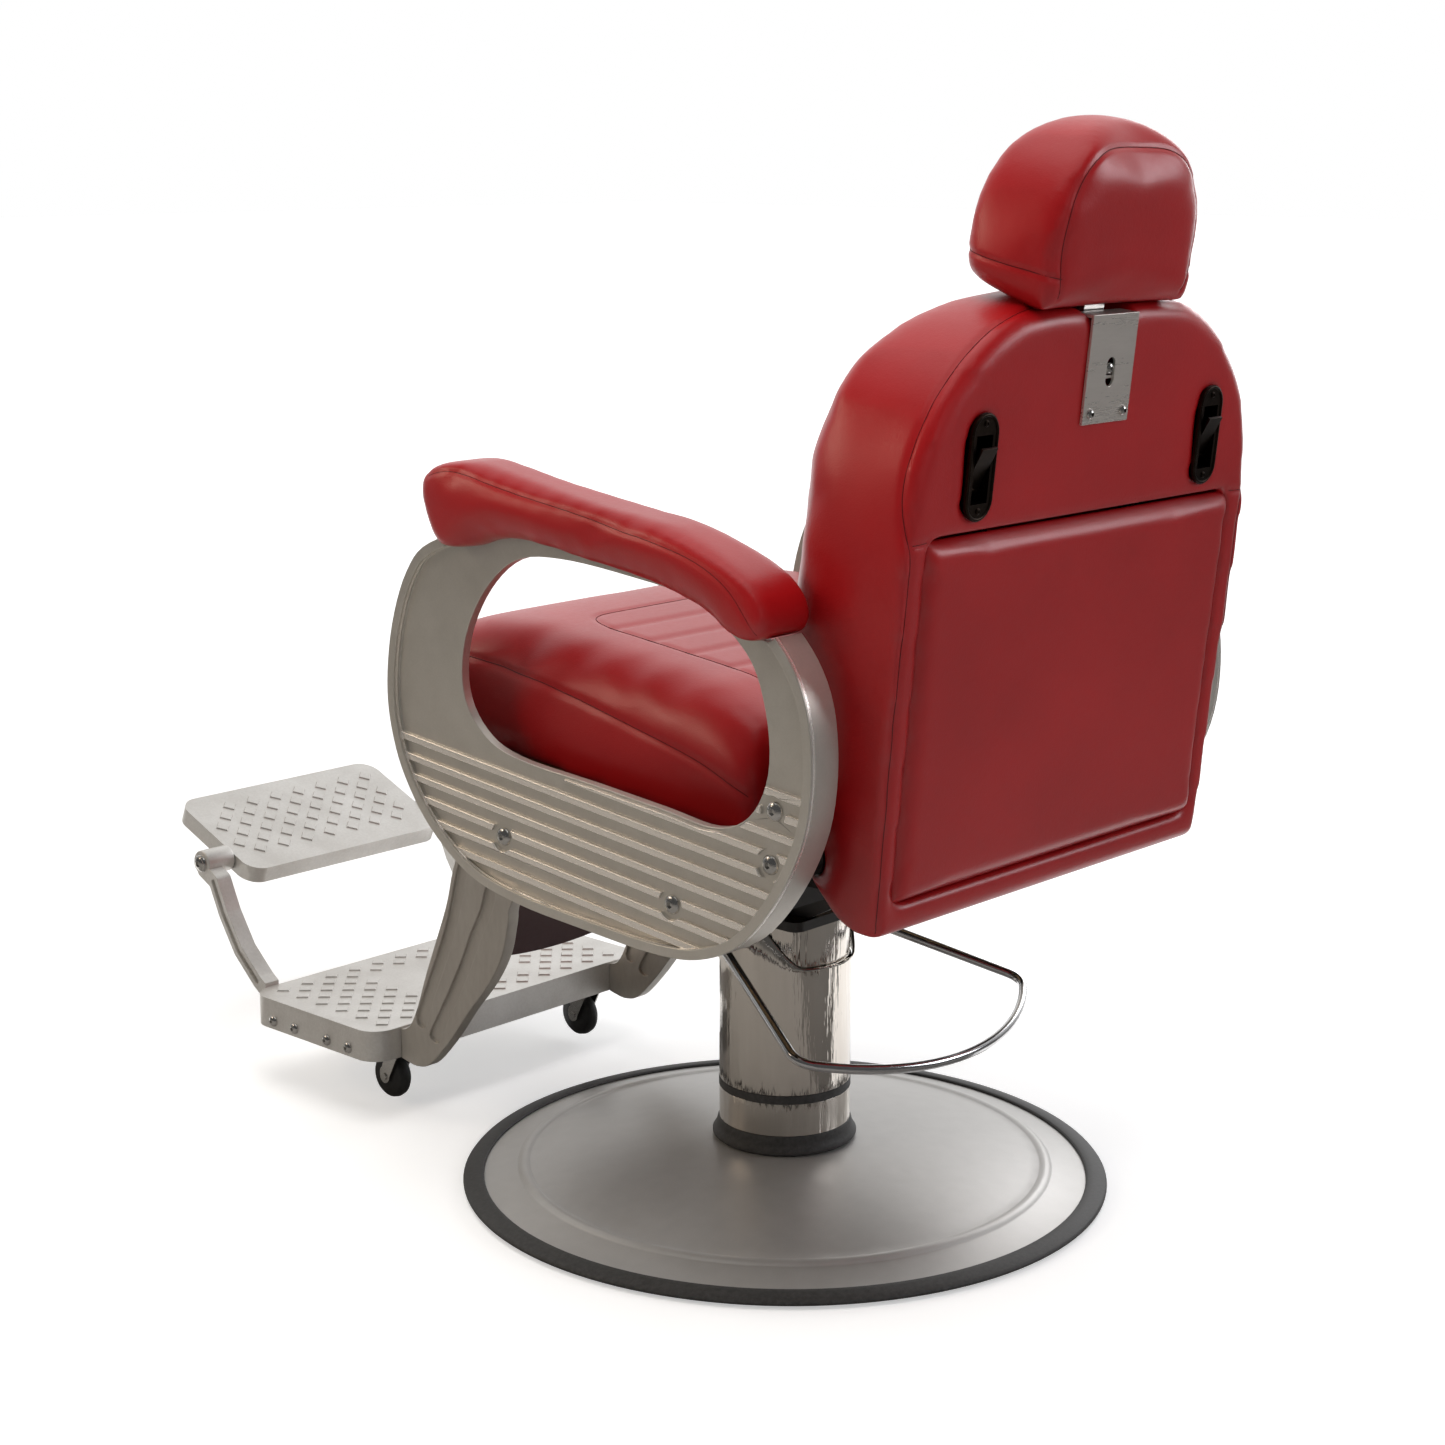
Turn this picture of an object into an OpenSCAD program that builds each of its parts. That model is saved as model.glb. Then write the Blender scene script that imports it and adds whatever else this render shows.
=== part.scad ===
// Hydraulic barber chair: pedestal, pump column, seat, cast side panels, reclining back,
// sliding headrest and swinging footrest.
// Millimetres. +Z is up, the sitter faces -Y, and the origin is on the floor under the column.

/* [Base] */
// Radius of the base over its rubber edge
base_r = 345; // [300:1:400]
// Width of the rubber edge seen from above
trim_w = 23; // [16:1:34]
// Height of the rubber edge
trim_h = 13; // [12:1:20]
// Height of the flat flange at the disc's edge
flange_z = 7; // [6:1:10]
// Thickness of the pressed steel disc
disc_t = 3; // [2:0.5:4]
// Height of the disc where it meets the collar
crown_z = 48.6; // [40:1:60]
// Radius of the raised bead pressed in the disc
bead_r = 280; // [250:1:295]
// Width of the bead
bead_w = 15; // [8:1:20]
// Height of the bead
bead_h = 3; // [1:0.5:5]
// Clearance of the ballast plate over the floor
ballast_lift = 1; // [0.5:0.5:3]
// Radius of the hub's bolt flange
hub_flange_r = 96; // [85:1:110]
// Thickness of the hub's bolt flange
hub_flange_t = 9; // [6:1:12]
// Radius of the circle of hub bolts
hub_bolt_ring_r = 79; // [74:1:80]

/* [Column] */
// Outside radius of the chrome column
column_r = 70; // [60:0.5:80]
// Wall of the chrome tubes
tube_t = 1.7; // [1.2:0.1:2.5]
// Height of the rubber collar on the disc
collar_h = 20; // [12:1:30]
// How far the collar flares past the column
collar_flare = 7; // [4:0.5:10]
// Height of the fixed chrome skirt
skirt_h = 35.5; // [20:0.5:50]
// Height of the rubber ring over the skirt
ring_h = 9; // [5:1:14]
// Height of the moving chrome sleeve
sleeve_h = 136.2; // [120:0.1:170]
// Height of the cover over the sleeve
cover_h = 67; // [55:1:80]
// How far the cover stands outside the sleeve
cover_proud = 3.5; // [2.5:0.5:6]
// Half angle of the cover's rear cut-out at its foot
cutout_foot_angle = 38; // [20:1:50]
// Half angle of the cover's rear cut-out at its head
cutout_head_angle = 77; // [60:1:85]
// Height over which the cut-out widens
cutout_rise = 44; // [25:1:50]
// Radius of the hub and of the collar's bore
hub_r = 62; // [56:0.5:64]
// Outside radius of the pump cylinder
cylinder_r = 45; // [40:1:50]
// Bore radius of the pump cylinder
cylinder_bore_r = 36; // [30:1:38]
// Height of the pump cylinder
cylinder_h = 215; // [200:1:225]
// Height of the gland on the cylinder
gland_h = 12; // [8:1:16]
// Radius of the ram
ram_r = 25; // [20:0.5:28]
// Height of the piston
piston_h = 20; // [12:1:26]
// Height of the piston's lowest place over the cylinder's floor
piston_lift = 14; // [8:1:24]
// Height of the swivel socket
socket_h = 30; // [24:1:36]
// Radius of the ram's shoulder
shoulder_r = 40; // [34:1:44]
// Thickness of the ram's shoulder
shoulder_t = 8; // [6:1:12]
// Thickness of the thrust bearing
thrust_t = 4; // [3:0.5:6]
// Height of the inner chrome tube that the sleeve hides
inner_tube_h = 168; // [160:1:172]

/* [Seat structure] */
// Thickness of the plate on the column head
deck_t = 10; // [8:1:14]
// Half width of the plate on the column head
deck_half_w = 110; // [95:1:130]
// Half length of the plate on the column head
deck_half_l = 112; // [104:1:125]
// Height of the seat frame's cross tubes over the plate's underside
tube_up = 60; // [56:1:64]
// Side of the square cross tubes
tube_side = 22; // [18:1:26]
// Wall of the square cross tubes
tube_wall = 2.5; // [1.5:0.5:4]
// Place of the front cross tube
front_tube_y = -89; // [-100:1:-80]
// Place of the rear cross tube
rear_tube_y = 150; // [140:1:160]
// Thickness of the seat frame's side plates
side_plate_t = 8; // [5:0.5:10]
// Pitch of the seat, front up
seat_pitch = 6.1; // [4:0.1:8]
// Thickness of the seat board
board_t = 12; // [9:1:15]
// Height of the seat board's underside over the plate's underside, at the column's axis
board_up = 145; // [143:1:148]
// Gap between the seat cushion and a side panel's inner side
seat_side_gap = 22; // [18:1:33]
// How far the cushion's sides roll in
seat_roll = 34; // [20:1:50]

/* [Side panels] */
// Distance between the outer faces of the side panels
overall_w = 650; // [640:2:670]
// Depth of a side panel's rim
rim_depth = 37; // [32:1:42]
// Width of a side panel's rim seen from the side
rim_w = 10; // [7:1:16]
// Depth of the panel's face below its rim
face_recess = 8; // [5:1:12]
// Thickness of the panel's web
web_t = 10; // [7:1:14]
// Spacing of the cast ribs
rib_pitch = 19.5; // [17:0.5:23]
// Width of a cast rib
rib_w = 7; // [5:0.5:9]
// Height of a cast rib over the panel's face
rib_h = 4; // [2:0.5:5]
// Radius of a panel screw's head
panel_screw_head_r = 8; // [6:0.5:9]
// Radius of a panel screw's shank
panel_screw_r = 4; // [3:0.5:5]

/* [Arm pads] */
// Width of an arm pad
arm_pad_w = 74; // [66:1:88]
// How far an arm pad stands outside the panel
arm_pad_proud = 22; // [15:1:28]

/* [Backrest] */
// Lean of the back's rear face
back_lean = 6; // [4:0.5:9]
// Hinge of the backrest behind the column's axis
hinge_y = 250; // [246:1:254]
// Hinge of the backrest over the plate's underside
hinge_up = 133; // [130:1:136]
// Depth of the back's rear face behind its hinge
back_rear = 92.5; // [88:0.5:96]
// Thickness of the upholstered rear panels
panel_t = 12; // [9:1:16]
// Gap between the back's widest place and a side panel's inner side
back_side_gap = 19; // [16:1:26]
// Width of the strip between the lower rear panel and the back's widest place
side_strip_w = 32; // [26:1:44]
// Height of the lower rear panel's foot over the hinge
lower_panel_low = -23; // [-28:1:-18]
// Height of the lower rear panel's head over the hinge
lower_panel_high = 309; // [295:1:318]
// Radius of the frame's torsion tube
torsion_r = 17; // [14:0.5:20]
// Radius of the hinge pins
hinge_pin_r = 10; // [8:0.5:12]
// Distance from the back's widest place to the outside of a frame upright
upright_inset = 45; // [41:1:57]
// Width of a frame upright
upright_w = 24; // [18:1:30]
// Depth of a frame upright
upright_d = 24; // [18:1:30]

/* [Headrest] */
// Width of the steel bracket plate
bracket_w = 71; // [56:1:80]
// Height of the steel bracket plate
bracket_h = 100; // [85:1:110]
// Height of the bracket's foot over the back's hinge
bracket_low = 400; // [392:1:406]
// Thickness of the bracket plate
bracket_t = 3; // [2:0.5:4]
// Width of the headrest bar
bar_w = 32; // [24:1:36]
// Thickness of the headrest bar
bar_t = 8; // [6:1:10]
// Half width of the headrest pad
headrest_half_w = 126; // [110:1:135]
// Height of the headrest's crown over the back's hinge
headrest_top = 672; // [655:1:690]

/* [Latches] */
// Distance from the back's widest place to a latch's middle
latch_inset = 91; // [88:1:101]
// Height of a latch's middle over the back's hinge
latch_mid = 374; // [366:1:380]
// Height of a latch bezel
latch_h = 97; // [85:1:105]
// Width of a latch bezel
latch_w = 38; // [32:1:42]
// Width of a latch's rim
latch_rim = 5; // [3:0.5:7]
// Depth of a latch cup
latch_depth = 26; // [20:1:32]
// Length of a recline paddle
paddle_l = 44; // [36:1:50]
// Thickness of a recline paddle
paddle_t = 3; // [2:0.5:4]

/* [Pump lever] */
// Radius of the lever's rod
lever_rod_r = 5; // [4:0.25:7]
// Radius of the lever's cross shaft
lever_shaft_r = 8; // [6:0.5:10]
// Place of the lever's shaft in front of the column's axis
lever_y = -100; // [-104:1:-96]
// Depth of the lever's shaft below the plate's underside
lever_down = 10.3; // [10:0.1:14]
// Half width of the lever at its shaft
lever_root_half_w = 46; // [42:0.5:50]
// Half width of the lever's loop
lever_half_w = 182; // [160:1:200]
// Reach of the lever's corners from its shaft
lever_reach = 291.5; // [270:0.5:310]
// Slope of the resting lever, rear end down
lever_slope = 18.1; // [14:0.1:22]
// How far the loop's bar bows out past its corners
lever_bow = 70; // [50:1:90]

/* [Legrest] */
// Leg shaft in front of the column's axis
leg_y = -190; // [-194:1:-186]
// Leg shaft over the plate's underside
leg_up = 123; // [120:1:126]
// Radius of the leg shaft
leg_shaft_r = 8; // [6:0.5:10]
// Place of a leg's outer face
leg_face_x = 174; // [168:1:176]
// Thickness of a leg
leg_t = 16; // [12:1:20]
// Drop from the leg shaft to the footplate's top
foot_drop = 330; // [322:1:340]
// Reach from the leg shaft to the footplate's rear edge
foot_reach = 237; // [228:1:246]
// Link pin in front of each hinge
crank_y = -30; // [-32:1:-28]
// Link pin below each hinge
crank_z = -45; // [-47:1:-43]
// Radius of the link pins
link_pin_r = 5; // [4:0.5:6]
// Thickness of a link rod
link_t = 8; // [6:1:10]
// Width of a link rod
link_w = 16; // [14:1:20]
// Half width of the calf pad
calf_half_w = 148; // [135:1:150]
// Length of the calf pad
calf_l = 188; // [170:1:205]
// Thickness of the calf pad
calf_t = 38; // [28:1:44]

/* [Footrest] */
// Half width of the lower footplate
foot_half_w = 213; // [208:1:220]
// Depth of the lower footplate, front to rear
foot_l = 226; // [215:1:245]
// Height of the lower footplate's skirt
foot_h = 36; // [32:1:40]
// Wall of the cast footplates
cast_t = 5; // [4:0.5:6]
// Corner radius of the lower footplate
foot_corner_r = 28; // [16:1:34]
// Half width of the upper step
step_half_w = 151; // [140:1:154]
// Depth of the upper step
step_l = 159; // [140:1:170]
// Thickness of the upper step
step_h = 21; // [18:1:26]
// Corner radius of the upper step
step_corner_r = 24; // [14:1:30]
// Tilt of the upper step, front up
step_tilt = 22.4; // [10:0.2:30]
// Step pivot in front of the footplate's rear edge
step_pivot_out = 343; // [335:1:351]
// Step pivot over the footplate's top
step_pivot_up = 130; // [120:1:145]
// Step pivot in front of the step's rear edge
step_pivot_in = 48; // [38:1:60]
// Radius of a step arm's boss
boss_r = 13; // [11:0.5:15]
// Width of a step arm
arm_w = 19; // [15:1:24]
// Thickness of a step arm
arm_t = 20; // [14:1:22]

/* [Casters] */
// Radius of a caster wheel
wheel_r = 27; // [20:0.5:28]
// Width of a caster wheel
wheel_w = 18; // [14:1:22]
// Place of each caster from the middle
caster_x = 150; // [140:1:152]
// Caster swivel in front of the footplate's rear edge
caster_in = 29; // [26:1:50]
// Lead of the resting wheel in front of its swivel
caster_trail = 15; // [6:1:18]
// Height of the wheel's middle over the floor
wheel_z = 37; // [36:1:40]
// Radius of the caster's stem
stem_r = 5.5; // [4:0.5:7]
// Radius of the wheel's axle
axle_r = 4; // [3:0.5:5]

/* [Fits] */
// Gap between pieces that are seated on each other
seat_gap = 0.3; // [0.2:0.05:0.4]
// Radial clearance of a running fit
run_gap = 0.05; // [0.03:0.01:0.08]
// Radial clearance at the link rod's rear eye
eye_gap = 0.6; // [0.5:0.1:0.8]

/* [Hidden] */
$fn = 64;
eps = 0.5;
far = 900;

// Heights up the column
collar_z = crown_z + seat_gap;
skirt_z = collar_z + collar_h;
ring_z = skirt_z + skirt_h;
sleeve_z = ring_z + ring_h + seat_gap;
sleeve_top = sleeve_z + sleeve_h;
deck_z = sleeve_top + cover_h;

// Radii in the base and the column
trim_inner_r = base_r - trim_w;
disc_r = base_r - 0.65 * trim_w;
ballast_r = trim_inner_r - 8;
skirt_inner_r = column_r - tube_t;
sleeve_inner_r = column_r - tube_t;
head_tube_r = sleeve_inner_r - seat_gap;
socket_r = head_tube_r - tube_t - seat_gap;
inner_tube_r = socket_r - 1.2;
cover_r = column_r + cover_proud;
cover_inner_r = cover_r - tube_t;
head_tube_low = sleeve_top - 25;
ballast_z = ballast_lift;
ballast_top = flange_z - seat_gap;
cylinder_z = ballast_top + seat_gap;
cylinder_floor = 10;
cylinder_top = cylinder_z + cylinder_h;
socket_z = deck_z - socket_h;
thrust_z = socket_z - thrust_t;
shoulder_z = thrust_z - shoulder_t;
piston_z = cylinder_z + cylinder_floor + piston_lift;
ram_z = piston_z + piston_h;
ram_top = deck_z - 2;
hub_bolt_r = 5;

// Seat structure
deck_top = deck_z + deck_t;
tube_z = deck_z + tube_up;
tube_low = tube_z - tube_side / 2;
tube_high = tube_z + tube_side / 2;
panel_outer_x = overall_w / 2;
panel_inner_x = panel_outer_x - rim_depth;
panel_face_x = panel_outer_x - face_recess;
plate_inner_x = panel_inner_x - side_plate_t;
seat_half_w = panel_inner_x - seat_side_gap;
board_inset = 8;
board_half_w = seat_half_w - board_inset;
cushion_gap = seat_gap;
rail_t = 5;
web_x = 76;
web_w = 12;

// Side panels, in distances behind the column's axis and over the plate's underside
panel_edge = [
    [-181, 388], [-218, 355], [-242, 300], [-252, 239], [-247, 190], [-228, 143], [-190, 96],
    [-132, 58], [-60, 42], [34, 35], [120, 31], [180, 37], [232, 62], [277, 113], [308, 175],
    [317, 240], [308, 300], [278, 345], [235, 372], [150, 396], [30, 412], [-90, 412]
];
window_edge = [
    [-6, 389], [-66, 381], [-111, 347], [-141, 296], [-145, 243], [-120, 206], [-72, 187],
    [36, 178], [127, 170], [193, 164], [236, 181], [259, 224], [256, 280], [232, 331],
    [168, 370], [85, 383]
];
arm_pad_edge = [
    [-155, 394], [-128, 390], [-85, 404], [-35, 408], [40, 400], [105, 391], [165, 380],
    [206, 366], [231, 351], [255, 345], [274, 352], [274, 378], [252, 400], [205, 420],
    [150, 434], [70, 443], [-20, 456], [-92, 468], [-138, 472], [-164, 463], [-175, 442]
];
curve_steps = 5;
screw_spots = [[268, 192], [263, 142], [141, 81], [-89, 104.5]];
pocket_r = 15;
rib_line_up = 160;
rib_first = -4;
rib_last = 8;
side_plate_edge = [
    [-198, 113], [-206, 128], [-208, 168], [-60, 153], [196, 128], [236, 158], [252, 204],
    [281, 204], [283, 130], [262, 104], [172, 49], [-100, 49]
];

// Seat cushion, in distances behind the column's axis and over the board's top
cushion_edge = [
    [182, 0], [190, 26], [190, 60], [184, 94], [165, 110], [120, 116], [40, 117], [-60, 117],
    [-150, 115], [-195, 111], [-245, 101], [-286, 80], [-306, 56], [-309, 30], [-299, 0]
];
shoulder_drop = 42;
crown_up = 117;
board_front_y = cushion_edge[len(cushion_edge) - 1][0] - 1;
board_rear_y = cushion_edge[0][0];

// Backrest, in distances behind and over its hinge, along the lean
hinge_z = deck_z + hinge_up;
back_half_w = panel_inner_x - back_side_gap;
lower_panel_half_w = back_half_w - side_strip_w;
upright_half_w = back_half_w - upright_inset;
latch_x = back_half_w - latch_inset;
torsion_half_l = plate_inner_x - 30;
// Half widths here are for a back of half width 269, and are drawn to the real one
back_shape = [
    [0, 521], [60, 518], [120, 506], [166, 488], [204, 461], [236, 425], [257, 382],
    [267, 330], [269, 280], [266, 200], [262, 100], [260, 0], [257, -54]
];
back_outline = [for (p = back_shape) [p[0] * back_half_w / 269, p[1]]];
back_profile = [
    [92.5, -48], [84, -54], [48, -54], [28, -50], [19, -41], [-10, -18], [-40, 20], [-57, 66],
    [-64, 130], [-62, 200], [-55, 284], [-49, 370], [-43, 440], [-33, 487], [-12, 505],
    [20, 517], [50, 521], [74, 518], [92.5, 508]
];
pocket_front = -24;
pocket_low = -24;
pocket_high = 470;
slot_half_angle = 60;
cross_bar_low = 345;
cross_bar_h = 26;
guide_wall = 3;
bracket_screw_x = bracket_w / 2 - 10;
bracket_screw_up = 10;
bracket_slot_up = 47;
bracket_slot_w = 13;
bracket_slot_h = 27;
latch_screw_in = 9.5;
latch_end_h = 18;
guide_low = 348;
guide_high = 486;
bar_depth = 66;
bar_low = 332;
lift_travel = 140;
headrest_travel = 100;

// Headrest pad, in distances behind and over the back's hinge, along the lean
headrest_outline = [
    [0, 0], [44, -7], [76, -25], [100, -54], [116, -90], [126, -130], [124, -152], [114, -171]
];
headrest_profile = [
    [0, 538], [4, 526], [14, 524], [60, 512], [88, 502], [98, 510], [101, 560], [106, 635],
    [98, 654], [80, 667], [40, 672], [14, 660], [0, 620]
];
headrest_plan = [[0, -2], [104, -2], [120, 10], [126, 30], [124, 56], [114, 80], [99, 106]];
headrest_plate_half_w = 62;
headrest_plate_h = 70;
headrest_plate_high = headrest_top - 62;
headrest_plate_low = headrest_plate_high - headrest_plate_h;
headrest_slot_low = headrest_plate_low - 60;

// Legs, in distances from the leg shaft and from the footplate's rear top edge
leg_z = deck_z + leg_up;
foot_y = leg_y - foot_reach;
foot_z = leg_z - foot_drop;
leg_head = [[-8, 35], [-38, 21], [-76, -4], [-108, -50]];
leg_tail = [[40, 4], [36, -28], [4, -74]];
leg_front_foot = [[97, 207], [82, 157], [48, 77], [30, 30], [14, 3], [-6, -6], [-6, -32]];
leg_rear_foot = [
    [12, -39], [31, -40], [52, -31], [87, 6], [116, 43], [151, 84], [173, 121], [183, 158],
    [190, 184]
];
flute_depth = 4;
flute_w = 16;
flute_lines = [
    [[-132, -119], [-151, -181], [-170, -228], [-193, -276], [-209, -315]],
    [[-88, -137], [-98, -164], [-115, -195], [-128, -223], [-150, -264], [-172, -301], [-187, -328]]
];

// Placing of the footrest's arms and of the casters
step_pivot_y = foot_y - step_pivot_out;
step_pivot_z = foot_z + step_pivot_up;
step_pivot_depth = step_h / 2;
arm_inner_x = step_half_w + 19;
arm_curve = [[22, -19], [39.5, -55.5], [66, -95.5], [100, -125.5], [122, -140]];
bolt_r = 6;
caster_y = foot_y - caster_in;
wheel_y = caster_y - caster_trail;
fork_top = foot_z - foot_h - 1;
mount_r = 18;
side_screw_y = [-46, -84, -143, -182];
side_screw_z = foot_z - 25.5;

// ---------- helpers ----------

// Point between b and c on a smooth curve that passes through a, b, c and d
function blend_point(a, b, c, d, t) =
    0.5 * (2 * b + (c - a) * t + (2 * a - 5 * b + 4 * c - d) * t * t
        + (3 * b - a - 3 * c + d) * t * t * t);

// Closed smooth curve through the given points
function smooth(points, steps = curve_steps) =
    let (n = len(points))
    [for (i = [0 : n - 1], s = [0 : steps - 1])
        blend_point(points[(i + n - 1) % n], points[i], points[(i + 1) % n],
            points[(i + 2) % n], s / steps)];

// Smooth curve from the first point to the last
function smooth_open(points, steps = curve_steps) =
    let (n = len(points))
    concat([for (i = [0 : n - 2], s = [0 : steps - 1])
        blend_point(points[max(i - 1, 0)], points[i], points[i + 1],
            points[min(i + 2, n - 1)], s / steps)], [points[n - 1]]);

// Outward unit normal at point i of a closed outline that runs anticlockwise
function edge_normal(points, i) =
    let (n = len(points), d = points[(i + 1) % n] - points[(i + n - 1) % n])
    [d[1], -d[0]] / norm(d);

// Closed outline moved outwards by a distance
function grown(points, distance) =
    [for (i = [0 : len(points) - 1]) points[i] + distance * edge_normal(points, i)];

// Outline moved up to its height over the floor
function raised(points, up) = [for (p = points) [p[0], p[1] + up]];

// Outline shifted by a point
function shifted(points, by) = [for (p = points) p + by];

// Outline of a half shape and its mirror image
function mirrored(half) =
    concat(half, [for (i = [len(half) - 1 : -1 : 0]) if (half[i][0] > 0) [-half[i][0], half[i][1]]]);

// Both sides of the chair
module both_sides() {
    children();
    mirror([1, 0, 0]) children();
}

// Solid with a side profile, between two places across the chair
module along_x(x0, x1) {
    translate([x0, 0, 0]) rotate([90, 0, 90]) linear_extrude(x1 - x0) children();
}

// Solid with a front outline, between two depths
module along_y(y0, y1) {
    translate([0, y1, 0]) rotate([90, 0, 0]) linear_extrude(y1 - y0) children();
}

// Round bar across the chair
module rod_x(x0, x1, r) {
    translate([x0, 0, 0]) rotate([0, 90, 0]) cylinder(h = x1 - x0, r = r);
}

// Flat ring or tube standing on z0
module tube(z0, z1, r_out, r_in) {
    translate([0, 0, z0]) difference() {
        cylinder(h = z1 - z0, r = r_out, $fn = 96);
        translate([0, 0, -eps]) cylinder(h = z1 - z0 + 2 * eps, r = r_in, $fn = 96);
    }
}

// Flat bar outline with round ends, which stand a hair proud of the straight part
module bar_2d(p, q, w) {
    d = q - p;
    proud = 0.03;
    translate(p) circle(d = w);
    translate(q) circle(d = w);
    translate(p) rotate(atan2(d[1], d[0])) translate([0, proud - w / 2])
        square([norm(d), w - 2 * proud]);
}

// Rectangle with round corners, from its low corner
module round_rect(w, l, r) {
    translate([r, 0]) square([w - 2 * r, l]);
    translate([0, r]) square([w, l - 2 * r]);
    for (x = [r, w - r], y = [r, l - r]) translate([x, y]) circle(r);
}

// Upright outline with fully round ends, centred
module stadium(w, h) {
    square([w, h - w], center = true);
    for (s = [-1, 1]) translate([0, s * (h - w) / 2]) circle(d = w);
}

// Frame of the backrest: origin on its hinge, +Z up the lean
module in_back() {
    translate([0, hinge_y, hinge_z]) rotate([-back_lean, 0, 0]) children();
}

// Frame of the upper step: origin on its pivot, +Y towards its rear edge
module in_step() {
    translate([0, step_pivot_y, step_pivot_z]) rotate([-step_tilt, 0, 0]) children();
}

// Button head screw pointing along +Z, its seat at the origin
module button_screw(head_r, head_h, shank_r, shank_l) {
    difference() {
        union() {
            cylinder(h = 0.45 * head_h, r = head_r);
            translate([0, 0, 0.45 * head_h - 0.01])
                cylinder(h = 0.55 * head_h, r1 = head_r, r2 = 0.62 * head_r);
        }
        translate([0, 0, 0.4 * head_h]) cylinder(h = head_h, r = 0.35 * head_r, $fn = 6);
    }
    translate([0, 0, -shank_l]) cylinder(h = shank_l + 0.01, r = shank_r);
}

// ---------- base and column ----------

// Height of the disc's upper face at a radius
function dome_z(r) =
    let (edge_z = flange_z + disc_t,
        f = (pow(trim_inner_r, 2) - pow(r, 2)) / (pow(trim_inner_r, 2) - pow(hub_r, 2)),
        b = 1 - pow((r - bead_r) / (bead_w / 2), 2))
    edge_z + (crown_z - edge_z) * f + bead_h * max(0, b);

module base_disc() color([0.72, 0.72, 0.71]) {
    bead_radii = [for (s = [-1 : 0.25 : 1]) bead_r + s * bead_w / 2];
    inner_radii = [for (s = [0 : 9]) hub_r + seat_gap + s * (bead_r - bead_w / 2 - hub_r) / 10];
    radii = concat(inner_radii, bead_radii, [trim_inner_r]);
    top = [for (r = radii) [r, dome_z(r)]];
    rotate_extrude($fn = 128)
        polygon(concat(
            top, [[disc_r, flange_z + disc_t], [disc_r, flange_z], [trim_inner_r, flange_z]],
            [for (i = [len(radii) - 2 : -1 : 0]) [radii[i], dome_z(radii[i]) - disc_t]]));
}

module base_trim() color([0.16, 0.16, 0.16]) {
    rotate_extrude($fn = 128) difference() {
        polygon([
            [ballast_r + seat_gap, 0], [base_r - 0.75 * trim_h, 0], [base_r, 0.36 * trim_h],
            [base_r, 0.54 * trim_h], [base_r - 2, 0.74 * trim_h],
            [base_r - 0.6 * trim_w, trim_h], [trim_inner_r + 2, trim_h],
            [trim_inner_r, flange_z + disc_t + seat_gap], [ballast_r + seat_gap, flange_z - seat_gap]
        ]);
        translate([0, flange_z - seat_gap])
            square([disc_r + seat_gap, disc_t + 2 * seat_gap]);
    }
}

module base_ballast() color([0.25, 0.25, 0.26])
    difference() {
        translate([0, 0, ballast_z]) cylinder(h = ballast_top - ballast_z, r = ballast_r, $fn = 128);
        for (a = [45 : 90 : 315])
            rotate(a) translate([hub_bolt_ring_r, 0, -eps])
                cylinder(h = far, r = hub_bolt_r + seat_gap);
    }

module base_hub() color([0.3, 0.3, 0.31])
    difference() {
        union() {
            translate([0, 0, ballast_top]) cylinder(h = hub_flange_t, r = hub_flange_r, $fn = 96);
            translate([0, 0, ballast_top]) cylinder(h = skirt_z - ballast_top, r = hub_r, $fn = 96);
            translate([0, 0, skirt_z - eps])
                cylinder(h = skirt_h + eps, r = skirt_inner_r - seat_gap, $fn = 96);
        }
        translate([0, 0, -eps]) cylinder(h = far, r = cylinder_r + seat_gap, $fn = 96);
        for (a = [45 : 90 : 315])
            rotate(a) translate([hub_bolt_ring_r, 0, -eps])
                cylinder(h = ballast_top + hub_flange_t + 2 * eps, r = hub_bolt_r + seat_gap);
        tube(skirt_z - 2 * eps, skirt_z, skirt_inner_r + 1, hub_r);
    }

module hub_bolts() color([0.62, 0.62, 0.62])
    for (a = [45 : 90 : 315])
        rotate(a) translate([hub_bolt_ring_r, 0, 0]) {
            translate([0, 0, ballast_z + 1])
                cylinder(h = ballast_top + hub_flange_t - ballast_z, r = hub_bolt_r);
            translate([0, 0, ballast_top + hub_flange_t])
                cylinder(h = 6.5, r = 1.7 * hub_bolt_r, $fn = 6);
        }

module base_collar() color([0.1, 0.1, 0.1])
    rotate_extrude($fn = 96)
        polygon([
            [hub_r + seat_gap, collar_z], [column_r + collar_flare - 2, collar_z],
            [column_r + collar_flare, collar_z + 2], [column_r + collar_flare, collar_z + 5],
            [column_r + 0.45 * collar_flare, collar_z + 0.55 * collar_h],
            [column_r + 1.5, skirt_z - 2], [column_r + 0.5, skirt_z], [hub_r + seat_gap, skirt_z]
        ]);

module column_skirt() color([0.82, 0.82, 0.83])
    tube(skirt_z, ring_z, column_r, skirt_inner_r);

module column_ring() color([0.09, 0.09, 0.09])
    tube(ring_z, ring_z + ring_h, column_r + 0.4, inner_tube_r + seat_gap);

module inner_tube() color([0.8, 0.8, 0.81])
    tube(ring_z, ring_z + inner_tube_h, inner_tube_r, inner_tube_r - tube_t);

module pump_cylinder() color([0.35, 0.35, 0.37])
    difference() {
        translate([0, 0, cylinder_z]) cylinder(h = cylinder_h, r = cylinder_r, $fn = 96);
        translate([0, 0, cylinder_z + cylinder_floor])
            cylinder(h = cylinder_h, r = cylinder_bore_r, $fn = 96);
    }

module cylinder_gland() color([0.55, 0.45, 0.25])
    tube(cylinder_top, cylinder_top + gland_h, cylinder_r, ram_r + run_gap);

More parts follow.
